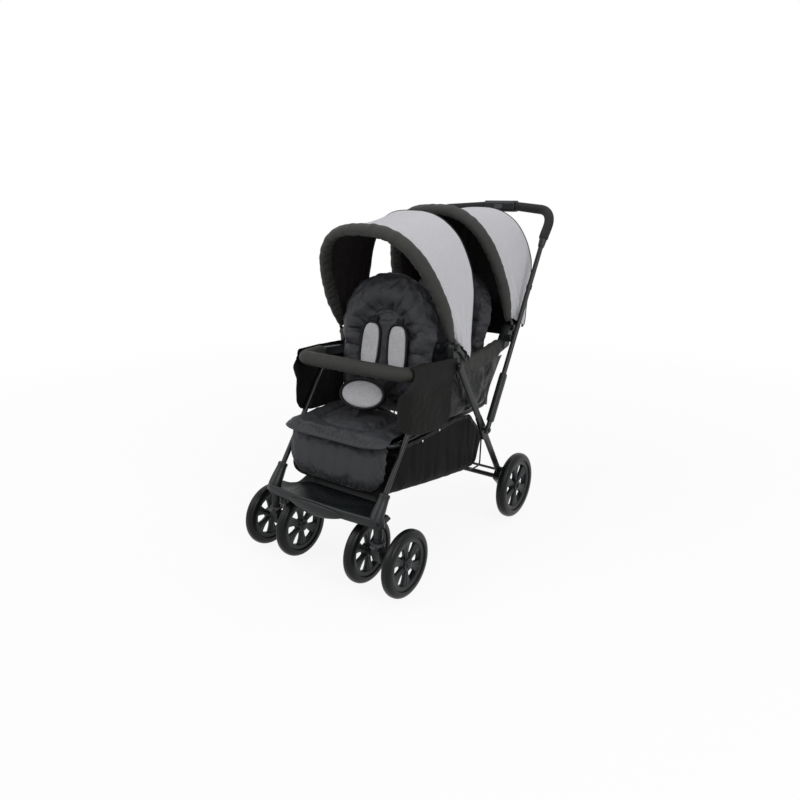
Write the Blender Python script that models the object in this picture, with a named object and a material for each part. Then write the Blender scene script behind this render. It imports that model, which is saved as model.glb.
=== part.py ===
"""Tandem double stroller: two seats one behind the other on a folding tube chassis.

Metres, +Z up. The stroller travels towards -Y, and its left side is at +X.
Places are measured from the front wheel axle line on the floor (y = 0), and one
empty then shifts the whole object so that the middle of its footprint is the origin.
"""

import math

import bmesh
import bpy
import numpy as np

# Clearances
TOUCH = 0.0003
RUNNING = 0.0006
BORE_GAP = 0.0004

# Wheels
FRONT_WHEEL_R = 0.100
FRONT_TYRE_W = 0.034
REAR_WHEEL_R = 0.114
REAR_TYRE_W = 0.036
TYRE_HEIGHT_SHARE = 0.235
WHEEL_FACETS = 24
SPOKES = 6
STUB_R = 0.005
HUB_R = 0.017
WHEELBASE = 0.6445

# Track and side layers, as distances from the middle plane
CASTER_X = 0.202
TWIN_SPACING = 0.1354
REAR_WHEEL_X = 0.278
FRONT_LEG_X = 0.200
HUB_IN_X = 0.190
HUB_OUT_X = 0.2222
REAR_LEG_IN_X = 0.2264
REAR_LEG_OUT_X = 0.2368
PUSH_TUBE_X = 0.2487
ARM_X = 0.199
SEAT_RAIL_X = 0.1845

# Tube sizes
FRONT_LEG_R = 0.008
PUSH_TUBE_R = 0.008
SEAT_RAIL_R = 0.007
ARM_SLEEVE_R = 0.0225
GRIP_R = 0.016
BOW_SLEEVE_R = 0.0145
BOW_WIRE_R = 0.005
BACK_FRAME_R = 0.006
CROSS_TUBE_R = 0.008
BASKET_WIRE_R = 0.003

# Pivots, as (y, z)
CASTER_TRAIL = 0.035
LEG_HUB = (0.332, 0.597)
CANOPY_HUB = (0.325, 0.655)
REAR_CANOPY_HUB = (0.680, 0.662)
FRONT_BACK_HINGE = (0.262, 0.437)
REAR_BACK_HINGE = (0.588, 0.450)
CALF_HINGE = (0.0413, 0.4245)
FOLD_SHARE = (0.496, 0.499)
FOLD_PIVOT = (
    LEG_HUB[0] + FOLD_SHARE[0] * (WHEELBASE - LEG_HUB[0]),
    LEG_HUB[1] + FOLD_SHARE[1] * (REAR_WHEEL_R - LEG_HUB[1]),
)
CROSS_TUBE = (WHEELBASE - 0.0385, REAR_WHEEL_R + 0.032)

# Legs and push tubes
FRONT_LEG_FOOT = (-0.020, 0.262)
FRONT_LEG_SLOPE = 1.378
LEG_TOP_CENTRE = (0.213, 0.598)
PUSH_TOP = (0.832, 0.944)
PUSH_TOP_X = 0.2465
HANDLE_Y = 0.975
HANDLE_Z = 1.048
HANDLE_MID_BOW = 0.010

# Arms and bumper
ARM_Z = 0.612
BUMPER_Y = 0.102
REAR_ARM_END_Y = 0.640

# Canopies
BOW_HALF_W = 0.2080
FRONT_BOW_H = 0.382
REAR_BOW_H = 0.415
BOW_POWER = 2.8
FRONT_CANOPY_LEANS = (-26.0, 16.0)
REAR_CANOPY_LEANS = (-22.0, 20.0)
FABRIC_T = 0.0024
BASKET_T = 0.004
BASKET_REAR_FLOOR = 0.200

# Seats
SEAT_RAIL_Z = 0.412
SEAT_FRONT_Y = 0.052
PAD_HALF_W = 0.183
BACK_HALF_W = 0.176
REAR_BACK_HALF_W = 0.164
FRONT_BACK_LEAN = 9.0
REAR_BACK_LEAN = 13.0
BACK_PANEL_T = 0.012
BACK_SKIN_T = 0.0112
STRAP_HALF_T = 0.0045

# Footboard
BOARD_HALF_W = 0.2165
BOARD_FRONT_Y = -0.054
BOARD_REAR_Y = 0.062
BOARD_TOP_Z = 0.234
BOARD_WALL = 0.004
SOCKET_R = 0.0185
SOCKET_BOTTOM_Z = 0.205

HANDLE_BACK_Y = HANDLE_Y + HANDLE_MID_BOW + 0.021
SHIFT_Y = (FRONT_WHEEL_R - HANDLE_BACK_Y) / 2

FINISHES = {
    "black_frame": ((0.012, 0.015, 0.016), 0.32, 0.35),
    "moulded_plastic": ((0.016, 0.022, 0.024), 0.42, 0.0),
    "tyre": ((0.010, 0.011, 0.011), 0.38, 0.0),
    "foam_grip": ((0.014, 0.014, 0.014), 0.85, 0.0),
    "seat_cloth": ((0.020, 0.020, 0.022), 0.70, 0.0),
    "rim_cloth": ((0.034, 0.034, 0.031), 0.75, 0.0),
    "grey_cloth": ((0.40, 0.40, 0.42), 0.72, 0.0),
    "basket_cloth": ((0.012, 0.012, 0.012), 0.72, 0.0),
    "button_plastic": ((0.05, 0.05, 0.055), 0.45, 0.0),
}


# Scene and materials


def clear_scene():
    for obj in list(bpy.data.objects):
        bpy.data.objects.remove(obj, do_unlink=True)


def make_finish(name):
    colour, roughness, metallic = FINISHES[name]
    finish = bpy.data.materials.new(name)
    finish.use_nodes = True
    shader = finish.node_tree.nodes["Principled BSDF"]
    shader.inputs["Base Color"].default_value = (*colour, 1.0)
    shader.inputs["Roughness"].default_value = roughness
    shader.inputs["Metallic"].default_value = metallic
    return finish


def finish_named(name):
    return bpy.data.materials.get(name) or make_finish(name)


def stand_at(obj, pivot):
    """Puts the object's origin on its pivot and hangs it on the footprint empty."""
    obj.parent = bpy.data.objects["footprint"]
    obj.location = pivot
    bpy.context.scene.collection.objects.link(obj)
    return obj


def add_mesh(name, shape, finish, pivot=(0.0, 0.0, 0.0)):
    """A closed mesh from (points, faces), shaded smooth with its hard edges kept."""
    points, faces = shape
    mesh = bpy.data.meshes.new(name)
    mesh.from_pydata((np.asarray(points, float) - np.asarray(pivot, float)).tolist(), [], faces)
    work = bmesh.new()
    work.from_mesh(mesh)
    bmesh.ops.remove_doubles(work, verts=work.verts, dist=1e-6)
    bmesh.ops.recalc_face_normals(work, faces=work.faces)
    if work.calc_volume(signed=True) < 0:
        bmesh.ops.reverse_faces(work, faces=work.faces)
    work.to_mesh(mesh)
    work.free()
    mesh.shade_smooth()
    mesh.set_sharp_from_angle(angle=math.radians(38))
    mesh.materials.append(finish_named(finish))
    return stand_at(bpy.data.objects.new(name, mesh), pivot)


def tool_mesh(name, shape):
    """A hidden helper that another object is cut by or joined with."""
    helper = add_mesh(name, shape, "black_frame")
    helper.hide_render = True
    helper.display_type = "WIRE"
    return helper


def combine(obj, operation, shapes):
    """Cuts the shapes from the object, or joins them to it, one Boolean for each."""
    for number, shape in enumerate(shapes):
        helper = tool_mesh(f"{obj.name}.{operation.lower()}{number}", shape)
        step = obj.modifiers.new(helper.name, "BOOLEAN")
        step.operation = operation
        step.solver = "EXACT"
        step.object = helper
    return obj


def soften(obj, width, segments=1):
    """A small bevel round the hard edges of a moulding."""
    step = obj.modifiers.new("edge", "BEVEL")
    step.width = width
    step.segments = segments
    step.limit_method = "ANGLE"
    step.angle_limit = math.radians(40)
    return obj


# Shape functions: each returns (points, faces)


def moved(shape, offset):
    points, faces = shape
    return np.asarray(points, float) + np.asarray(offset, float), faces


def mirrored(shape, side):
    """The shape as it stands on the left, or its mirror image for side -1."""
    points, faces = shape
    points = np.array(points, float)
    points[:, 0] *= side
    return points, [tuple(reversed(face)) for face in faces] if side < 0 else faces


def turned_about_x(shape, centre, degrees):
    """The shape turned about a line along X through centre (y, z), from +Y towards +Z."""
    points, faces = shape
    points = np.array(points, float)
    angle = math.radians(degrees)
    y = points[:, 1] - centre[0]
    z = points[:, 2] - centre[1]
    points[:, 1] = centre[0] + y * math.cos(angle) - z * math.sin(angle)
    points[:, 2] = centre[1] + y * math.sin(angle) + z * math.cos(angle)
    return points, faces


def ring_section(across, along, count, phase=0.0):
    angles = phase + 2 * math.pi * np.arange(count) / count
    return np.stack([across * np.cos(angles), along * np.sin(angles)], axis=1)


def rounded_path(corners, radius, steps=4):
    """The line through the corners, with each inner corner turned along a tangent arc."""
    corners = [np.asarray(c, float) for c in corners]
    path = [corners[0]]
    for before, corner, after in zip(corners, corners[1:], corners[2:]):
        back = (before - corner) / np.linalg.norm(before - corner)
        ahead = (after - corner) / np.linalg.norm(after - corner)
        turn = math.pi - math.acos(float(np.clip(back @ ahead, -1, 1)))
        if turn < 1e-3:
            continue
        middle = (back + ahead) / np.linalg.norm(back + ahead)
        centre = corner + middle * radius / math.cos(turn / 2)
        first = (corner + back * radius * math.tan(turn / 2) - centre) / radius
        last = (corner + ahead * radius * math.tan(turn / 2) - centre) / radius
        other = last - first * (last @ first)
        other /= np.linalg.norm(other)
        for angle in np.linspace(0.0, turn, steps + 1):
            path.append(centre + radius * (math.cos(angle) * first + math.sin(angle) * other))
    path.append(corners[-1])
    return np.array(path)


def swept(path, section, across=(1.0, 0.0, 0.0)):
    """A closed section carried along a path without twisting, with flat ends.

    section is one ring, or one ring for each path point; its first number runs
    along `across`, which is kept as square to the path as the path lets it.
    """
    path = np.asarray(path, float)
    sections = np.asarray(section, float)
    if sections.ndim == 2:
        sections = np.repeat(sections[None], len(path), axis=0)
    legs = np.diff(path, axis=0)
    legs /= np.linalg.norm(legs, axis=1)[:, None]
    tangents = np.concatenate([legs[:1], legs[:-1] + legs[1:], legs[-1:]])
    tangents /= np.linalg.norm(tangents, axis=1)[:, None]
    side = np.asarray(across, float)
    count = sections.shape[1]
    points = []
    for place, tangent, ring in zip(path, tangents, sections):
        side = side - tangent * (side @ tangent)
        side /= np.linalg.norm(side)
        up = np.cross(tangent, side)
        points.append(place + ring[:, :1] * side + ring[:, 1:] * up)
    faces = [tuple(range(count))[::-1]]
    for row in range(len(path) - 1):
        low = row * count
        for i in range(count):
            j = (i + 1) % count
            faces.append((low + i, low + j, low + count + j, low + count + i))
    faces.append(tuple(range((len(path) - 1) * count, len(path) * count)))
    return np.concatenate(points), faces


def turned(profile, count, centre=(0.0, 0.0, 0.0), axis="z", phase=0.0):
    """A closed profile of (radius, height) turned about an axis through centre."""
    angles = phase + 2 * math.pi * np.arange(count) / count
    points = []
    for radius, height in profile:
        for angle in angles:
            a = radius * math.cos(angle)
            b = radius * math.sin(angle)
            points.append({"z": (a, b, height), "x": (height, a, b), "y": (b, height, a)}[axis])
    faces = []
    for ring in range(len(profile)):
        other = (ring + 1) % len(profile)
        if profile[ring][0] == 0 and profile[other][0] == 0:
            continue
        for i in range(count):
            j = (i + 1) % count
            corners = [ring * count + i, ring * count + j, other * count + j, other * count + i]
            if profile[ring][0] == 0:
                corners.pop(1)
            elif profile[other][0] == 0:
                corners.pop(3)
            faces.append(tuple(corners))
    return moved((points, faces), centre)


def rod(centre_yz, radius, x_low, x_high, count=12, phase=0.0):
    profile = [(0.0, x_low), (radius, x_low), (radius, x_high), (0.0, x_high)]
    return turned(profile, count, (0.0, *centre_yz), "x", phase)


def slab(outline, low, high, axis="x"):
    """A flat outline given a thickness along an axis."""
    count = len(outline)
    points = []
    for level in (low, high):
        for a, b in outline:
            points.append({"x": (level, a, b), "y": (a, level, b), "z": (a, b, level)}[axis])
    faces = [tuple(range(count))[::-1], tuple(range(count, 2 * count))]
    for i in range(count):
        j = (i + 1) % count
        faces.append((i, j, count + j, count + i))
    return points, faces


def box(low, high):
    outline = [(low[0], low[1]), (high[0], low[1]), (high[0], high[1]), (low[0], high[1])]
    return slab(outline, low[2], high[2], "z")


def hull_of_circles(circles, steps=12):
    """The outline of a band stretched round circles given as (a, b, radius)."""
    spots = []
    for a, b, radius in circles:
        for angle in 2 * math.pi * np.arange(steps) / steps:
            spots.append((a + radius * math.cos(angle), b + radius * math.sin(angle)))
    spots.sort()

    def half(ordered):
        chain = []
        for spot in ordered:
            while len(chain) > 1:
                (ax, ay), (bx, by) = chain[-2:]
                if (bx - ax) * (spot[1] - ay) - (by - ay) * (spot[0] - ax) > 1e-9:
                    break
                chain.pop()
            chain.append(spot)
        return chain[:-1]

    return half(spots) + half(spots[::-1])


def rounded_rectangle(low_a, high_a, low_b, high_b, radius, steps=3):
    """A rectangle whose corners are arcs, as an outline."""
    outline = []
    corners = ((high_a - radius, high_b - radius), (low_a + radius, high_b - radius),
               (low_a + radius, low_b + radius), (high_a - radius, low_b + radius))
    for quarter, (a, b) in enumerate(corners):
        for angle in np.linspace(quarter, quarter + 1, steps + 1) * math.pi / 2:
            outline.append((a + radius * math.cos(angle), b + radius * math.sin(angle)))
    return outline


def two_skins(front, back):
    """A closed solid between two grids of points with the same rows and columns."""
    rows, columns = front.shape[:2]
    points = np.concatenate([front.reshape(-1, 3), back.reshape(-1, 3)])
    far = rows * columns
    faces = []
    for r in range(rows - 1):
        for c in range(columns - 1):
            a = r * columns + c
            faces.append((a, a + 1, a + columns + 1, a + columns))
            faces.append((far + a, far + a + columns, far + a + columns + 1, far + a + 1))
    rim = [r * columns for r in range(rows)]
    rim += [(rows - 1) * columns + c for c in range(1, columns)]
    rim += [r * columns + columns - 1 for r in range(rows - 2, -1, -1)]
    rim += [c for c in range(columns - 2, 0, -1)]
    for a, b in zip(rim, rim[1:] + rim[:1]):
        faces.append((a, b, far + b, far + a))
    return points, faces


def grid_normals(grid):
    normals = np.cross(np.gradient(grid, axis=1), np.gradient(grid, axis=0))
    return normals / np.linalg.norm(normals, axis=2)[:, :, None]


def thick_sheet(grid, thickness):
    """Cloth of even thickness laid on both sides of a grid of points."""
    normals = grid_normals(grid)
    return two_skins(grid + normals * thickness / 2, grid - normals * thickness / 2)


def eased(count):
    """Numbers from -1 to 1 that crowd towards both ends, where a pad turns over its edge."""
    return np.sin(np.linspace(-1, 1, count) * math.pi / 2)


def pad(middle, across, along, normal, half_w, half_l, fullness, columns=11, rows=13):
    """A stuffed pad round a flat middle plane.

    half_w(v) is the half width at v from -1 to 1 along the pad, and fullness(u, v)
    gives how far the front and the back skin stand off the plane; both fall to the
    seam along a quarter circle at the pad's edge.
    """
    middle, across, along, normal = (np.asarray(a, float) for a in (middle, across, along, normal))
    u, v = np.meshgrid(eased(columns), eased(rows))
    width = half_w(v)
    plane = middle + across * (u * width)[..., None] + along * (v * half_l)[..., None]
    edge = np.sqrt(np.clip((1 - np.abs(u) ** 6) * (1 - np.abs(v) ** 6), 0, 1))
    front, back = fullness(u, v)
    front_skin = plane + normal * (front * edge)[..., None]
    back_skin = plane - normal * (back * edge)[..., None]
    return two_skins(front_skin, back_skin)


# Wheels


def wheel_sizes(radius):
    """Rim seat radius, window outer radius and window inner radius of a wheel."""
    seat = radius * (1 - TYRE_HEIGHT_SHARE)
    return seat, seat - 0.007, HUB_R + 0.004


def tyre_shape(radius, width, centre):
    """A low round-shouldered tyre whose bottom facet lies flat on the floor."""
    crown = radius / math.cos(math.pi / WHEEL_FACETS)
    seat = wheel_sizes(radius)[0] + TOUCH
    half = width / 2
    profile = [
        (seat, -half * 0.74),
        (crown * 0.925, -half),
        (crown, -half * 0.34),
        (crown, half * 0.34),
        (crown * 0.925, half),
        (seat, half * 0.74),
    ]
    return turned(profile, WHEEL_FACETS, centre, "x", math.pi / WHEEL_FACETS)


def rim_shape(radius, width, centre):
    """A spoked wheel centre, as a ring of cells with a window between each two spokes."""
    seat, window_out, window_in = wheel_sizes(radius)
    facet = math.cos(math.pi / WHEEL_FACETS)
    radii = [STUB_R + RUNNING, HUB_R, window_in, window_out, seat * facet - 0.0002]
    half = [width * 0.42, width * 0.42, width * 0.20, width * 0.20, width * 0.34]
    per_spoke = WHEEL_FACETS // SPOKES
    pitch = 2 * math.pi / SPOKES
    inner_share = [0.0, 0.34, 0.50, 0.66]
    outer_share = [0.0, 0.17, 0.50, 0.83]
    points = []
    for side in (-1, 1):
        for ring, r in enumerate(radii):
            share = outer_share if ring >= 3 else inner_share
            if ring in (0, 4):
                share = [0.0, 0.25, 0.5, 0.75]
            for spoke in range(SPOKES):
                for step in range(per_spoke):
                    angle = pitch * (spoke + share[step])
                    points.append((side * half[ring], r * math.cos(angle), r * math.sin(angle)))
    total = len(radii) * WHEEL_FACETS

    def at(side, ring, cell):
        return side * total + ring * WHEEL_FACETS + cell % WHEEL_FACETS

    def is_open(ring, cell):
        return ring == 2 and cell % per_spoke in (1, 2)

    faces = []
    for ring in range(len(radii) - 1):
        for cell in range(WHEEL_FACETS):
            if is_open(ring, cell):
                for low in (ring, ring + 1):
                    faces.append((at(0, low, cell), at(0, low, cell + 1),
                                  at(1, low, cell + 1), at(1, low, cell)))
                continue
            for side in (0, 1):
                faces.append((at(side, ring, cell), at(side, ring, cell + 1),
                              at(side, ring + 1, cell + 1), at(side, ring + 1, cell)))
            for edge, neighbour in ((cell, cell - 1), (cell + 1, cell + 1)):
                if is_open(ring, neighbour):
                    faces.append((at(0, ring, edge), at(0, ring + 1, edge),
                                  at(1, ring + 1, edge), at(1, ring, edge)))
    for cell in range(WHEEL_FACETS):
        for ring in (0, len(radii) - 1):
            faces.append((at(0, ring, cell), at(0, ring, cell + 1),
                          at(1, ring, cell + 1), at(1, ring, cell)))
    return moved((points, faces), centre)


def add_wheel(label, radius, width, centre):
    add_mesh(f"{label}_tyre", tyre_shape(radius, width, centre), "tyre", centre)
    add_mesh(f"{label}_rim", rim_shape(radius, width, centre), "moulded_plastic", centre)


def stub_axle(centre_yz, x_low, x_high, cap_low, cap_high):
    """A stub axle with a domed cap past each end that has one."""
    cap_r = HUB_R * 0.62
    profile = [(0.0, x_low), (STUB_R, x_low), (STUB_R, x_high), (0.0, x_high)]
    if cap_high:
        profile[2:] = [(STUB_R, x_high), (cap_r, x_high), (cap_r * 0.8, x_high + 0.003),
                       (0.0, x_high + 0.004)]
    if cap_low:
        profile[:2] = [(0.0, x_low - 0.004), (cap_r * 0.8, x_low - 0.003), (cap_r, x_low),
                       (STUB_R, x_low)]
    return turned(profile, 12, (0.0, *centre_yz), "x")


# Front casters

STEM_R = 0.0140
STEM_TOP_Z = SOCKET_BOTTOM_Z - TOUCH
LOCK_Z = 0.152
LOCK_H = 0.007
CASTER_PIN_R = 0.0065
CASTER_PIN_TOP_Z = 0.2285
CASTER_ARM_W = 0.030


def add_casters():
    hub_half = FRONT_TYRE_W * 0.42 + RUNNING
    for side, word in ((1, "left"), (-1, "right")):
        x = side * CASTER_X
        pivot = (x, -CASTER_TRAIL, STEM_TOP_Z)
        stem = turned([(0.0, 0.118), (STEM_R, 0.118), (STEM_R, LOCK_Z - TOUCH),
                       (STEM_R * 0.86, LOCK_Z - TOUCH), (STEM_R * 0.86, LOCK_Z + 0.020),
                       (STEM_R, LOCK_Z + 0.024), (STEM_R, STEM_TOP_Z),
                       (CASTER_PIN_R, STEM_TOP_Z), (CASTER_PIN_R, CASTER_PIN_TOP_Z),
                       (0.0, CASTER_PIN_TOP_Z)], 14, (x, -CASTER_TRAIL, 0.0))
        outline = hull_of_circles([(-CASTER_TRAIL, 0.132, 0.016), (-CASTER_TRAIL + 0.004, 0.112, 0.015),
                                   (0.0, FRONT_WHEEL_R, 0.016)])
        fork = add_mesh(f"caster_fork_{word}", stem, "moulded_plastic", pivot)
        reach = TWIN_SPACING / 2 + hub_half
        axle = stub_axle((0.0, FRONT_WHEEL_R), x - reach, x + reach, True, True)
        spacer = rod((0.0, FRONT_WHEEL_R), 0.0115, x - TWIN_SPACING / 2 + hub_half,
                     x + TWIN_SPACING / 2 - hub_half)
        combine(fork, "UNION", [slab(outline, x - CASTER_ARM_W / 2, x + CASTER_ARM_W / 2), spacer, axle])
        collar = turned([(STEM_R * 0.86 + 0.0004, LOCK_Z), (STEM_R + 0.006, LOCK_Z),
                         (STEM_R + 0.007, LOCK_Z + LOCK_H / 2), (STEM_R + 0.006, LOCK_Z + LOCK_H),
                         (STEM_R * 0.86 + 0.0004, LOCK_Z + LOCK_H)], 14, (x, -CASTER_TRAIL, 0.0))
        tab = slab(rounded_rectangle(x - 0.010, x + 0.010, -CASTER_TRAIL - STEM_R - 0.016,
                                     -CASTER_TRAIL - STEM_R - 0.0005, 0.005, 2),
                   LOCK_Z + 0.0012, LOCK_Z + LOCK_H - 0.0012, "z")
        lock = add_mesh(f"swivel_lock_{word}", collar, "button_plastic", pivot)
        combine(lock, "UNION", [tab])
        for place, across in (("outer", 1), ("inner", -1)):
            centre = (x + side * across * TWIN_SPACING / 2, 0.0, FRONT_WHEEL_R)
            add_wheel(f"front_{word}_{place}", FRONT_WHEEL_R, FRONT_TYRE_W, centre)


# Chassis


def add_footboard():
    """A moulded step: one bent section with a front lip and a rear wall, ribs and leg sockets."""
    lip_z = BOARD_TOP_Z - 0.020
    wall_z = BOARD_TOP_Z + 0.024
    rear = BOARD_REAR_Y
    front = BOARD_FRONT_Y
    section = [
        (front, lip_z), (front + BOARD_WALL, lip_z), (front + BOARD_WALL, BOARD_TOP_Z - BOARD_WALL),
        (rear - BOARD_WALL, BOARD_TOP_Z - BOARD_WALL + 0.004), (rear, BOARD_TOP_Z), (rear + 0.004, wall_z),
        (rear, wall_z), (rear - BOARD_WALL, BOARD_TOP_Z + 0.004), (front + 0.010, BOARD_TOP_Z),
        (front, BOARD_TOP_Z - 0.006),
    ]
    stations = []
    for x in np.linspace(-BOARD_HALF_W, BOARD_HALF_W, 9):
        share = abs(x) / BOARD_HALF_W
        bow = -0.012 * math.cos(share * math.pi / 2)
        stations.append([(x, y + bow * (1 - (y - front) / (rear - front)), z) for y, z in section])
    count = len(section)
    points = [p for station in stations for p in station]
    faces = [tuple(range(count)), tuple(range(len(points) - count, len(points)))[::-1]]
    for row in range(len(stations) - 1):
        for i in range(count):
            j = (i + 1) % count
            faces.append((row * count + i, (row + 1) * count + i, (row + 1) * count + j, row * count + j))
    board = add_mesh("footboard", (points, faces), "moulded_plastic")
    parts = []
    for x in (-0.108, -0.036, 0.036, 0.108):
        outline = [(front + 0.001, lip_z + 0.004), (0.030, BOARD_TOP_Z - 0.012),
                   (rear - 0.002, BOARD_TOP_Z - 0.001), (front + 0.001, BOARD_TOP_Z - 0.002)]
        parts.append(slab(outline, x - 0.0015, x + 0.0015))
    for side in (1, -1):
        x = side * CASTER_X
        parts.append(turned([(0.0, SOCKET_BOTTOM_Z), (SOCKET_R - 0.002, SOCKET_BOTTOM_Z),
                             (SOCKET_R, SOCKET_BOTTOM_Z + 0.004), (SOCKET_R, BOARD_TOP_Z - 0.001),
                             (0.0, BOARD_TOP_Z - 0.001)], 12, (x, -CASTER_TRAIL, 0.0)))
        parts.append(leg_socket(side))
    combine(board, "UNION", parts)
    cuts = []
    for side in (1, -1):
        cuts.append(turned([(0.0, SOCKET_BOTTOM_Z - 0.002), (CASTER_PIN_R + RUNNING, SOCKET_BOTTOM_Z - 0.002),
                            (CASTER_PIN_R + RUNNING, CASTER_PIN_TOP_Z + TOUCH),
                            (0.0, CASTER_PIN_TOP_Z + TOUCH)], 12, (side * CASTER_X, -CASTER_TRAIL, 0.0)))
        cuts.append(leg_bore(side, -TOUCH, 0.030))
    combine(board, "DIFFERENCE", cuts)


def leg_direction():
    length = math.hypot(1.0, FRONT_LEG_SLOPE)
    return np.array([0.0, 1.0 / length, FRONT_LEG_SLOPE / length])


def leg_foot(side):
    return np.array([side * FRONT_LEG_X, *FRONT_LEG_FOOT])


def leg_socket(side):
    """The moulded sleeve that takes the front leg, tapering up along it."""
    start = leg_foot(side) - leg_direction() * 0.034
    end = leg_foot(side) + leg_direction() * 0.020
    rings = np.stack([ring_section(0.0150, 0.0175, 12), ring_section(0.0125, 0.0130, 12)])
    return swept([start, end], rings)


def leg_length():
    """From the foot of the front leg to its end inside the arm hub."""
    return (LEG_TOP_CENTRE[1] - FRONT_LEG_FOOT[1]) / leg_direction()[2]


def leg_bore(side, low, high):
    start = leg_foot(side) + leg_direction() * low
    end = leg_foot(side) + leg_direction() * high
    return swept([start, end], ring_section(FRONT_LEG_R + BORE_GAP, FRONT_LEG_R + BORE_GAP, 12))


def add_front_frame():
    """Both front legs and the tube that joins them under the front seat."""
    legs = [swept([leg_foot(side), leg_foot(side) + leg_direction() * leg_length()],
                  ring_section(FRONT_LEG_R, FRONT_LEG_R, 12)) for side in (1, -1)]
    cross = leg_foot(1) + leg_direction() * 0.150
    bar = swept([(-FRONT_LEG_X, cross[1], cross[2]), (FRONT_LEG_X, cross[1], cross[2])],
                ring_section(0.0065, 0.0065, 10), (0.0, 1.0, 0.0))
    frame = add_mesh("front_frame", legs[0], "black_frame")
    combine(frame, "UNION", [bar, legs[1]])


def add_arm_hubs():
    """The mouldings where front leg, rear leg, both arms and the front canopy meet."""
    outline = hull_of_circles([(*CANOPY_HUB, 0.018), (*LEG_HUB, 0.018), (*LEG_TOP_CENTRE, 0.020)])
    for side, word in ((1, "left"), (-1, "right")):
        plate = slab(outline, HUB_IN_X, HUB_OUT_X)
        hub = add_mesh(f"arm_hub_{word}", mirrored(plate, side), "moulded_plastic")
        soften(hub, 0.0025)
        leg_pin = stepped_pin(LEG_HUB, 0.0060, HUB_OUT_X - 0.004, REAR_LEG_OUT_X + RUNNING, 0.0105, 0.0020)
        bow_pin = stepped_pin(CANOPY_HUB, EYE_PIN_R, HUB_OUT_X - 0.004, EYE_X[1][1] + TOUCH, 0.0095, 0.0025)
        combine(hub, "UNION", [mirrored(leg_pin, side), mirrored(bow_pin, side)])
        combine(hub, "DIFFERENCE", [leg_bore(side, leg_length() - 0.060, leg_length() + TOUCH)])


def stepped_pin(centre_yz, radius, x_low, x_high, head_r, head_t):
    profile = [(0.0, x_low), (radius, x_low), (radius, x_high), (head_r, x_high),
               (head_r * 0.85, x_high + head_t), (0.0, x_high + head_t)]
    return turned(profile, 12, (0.0, *centre_yz), "x")


def add_seat_frame():
    """One bent tube under both seats, from rear arm to rear arm round the front."""
    x = SEAT_RAIL_X
    arm_end = (x, 0.652, ARM_Z - ARM_SLEEVE_R + 0.0006)
    corners = [arm_end, (x, 0.572, SEAT_RAIL_Z), (x, SEAT_FRONT_Y, SEAT_RAIL_Z)]
    corners += [(-a, b, c) for a, b, c in reversed(corners)]
    path = rounded_path(corners, 0.030, 3)
    add_mesh("seat_frame", swept(path, ring_section(SEAT_RAIL_R, SEAT_RAIL_R, 8)), "black_frame")


def sleeve_rings(count, base):
    """Rings of a padded sleeve that draws in at its ends."""
    swell = 1 - 0.10 * np.abs(np.linspace(-1, 1, count)) ** 6
    return np.stack([ring_section(base * s, base * s, 12) for s in swell])


def add_bumper_bar():
    x = ARM_X
    end_y = LEG_TOP_CENTRE[0] - 0.020 - TOUCH
    corners = [(x, end_y, ARM_Z), (x, BUMPER_Y, ARM_Z), (-x, BUMPER_Y, ARM_Z), (-x, end_y, ARM_Z)]
    path = rounded_path(corners, 0.050, 5)
    section = ring_section(ARM_SLEEVE_R, ARM_SLEEVE_R, 12)
    add_mesh("bumper_bar", swept(path, section, (0.0, 0.0, 1.0)), "rim_cloth")


def add_rear_arms():
    """The padded rear arms, each with the end moulding that carries the rear canopy and stops the push tube."""
    start = max(LEG_HUB[0], CANOPY_HUB[0]) + 0.018 + TOUCH
    end_plate = hull_of_circles([(*REAR_CANOPY_HUB, 0.014), (0.655, ARM_Z, 0.016), (0.640, ARM_Z, 0.016)])
    catch_z = 0.632
    catch_y = FOLD_PIVOT[0] + (catch_z - FOLD_PIVOT[1]) * push_run()
    for side, word in ((1, "left"), (-1, "right")):
        path = np.array([(ARM_X, y, ARM_Z) for y in np.linspace(start, REAR_ARM_END_Y, 6)])
        arm = add_mesh(f"rear_arm_{word}",
                       mirrored(swept(path, sleeve_rings(6, ARM_SLEEVE_R), (0.0, 0.0, 1.0)), side),
                       "rim_cloth")
        catch = box((HUB_OUT_X - 0.010, catch_y - 0.011, catch_z - 0.011),
                    (push_x(catch_z) - PUSH_TUBE_R - TOUCH, catch_y + 0.009, catch_z + 0.011))
        bow_pin = stepped_pin(REAR_CANOPY_HUB, EYE_PIN_R, HUB_OUT_X - 0.004, EYE_X[1][1] + TOUCH, 0.0095, 0.0025)
        combine(arm, "UNION", [mirrored(slab(end_plate, HUB_IN_X, HUB_OUT_X), side),
                               mirrored(catch, side), mirrored(bow_pin, side)])


# Rear legs and what they carry

FOOT_X = (0.2190, 0.2560)


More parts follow.
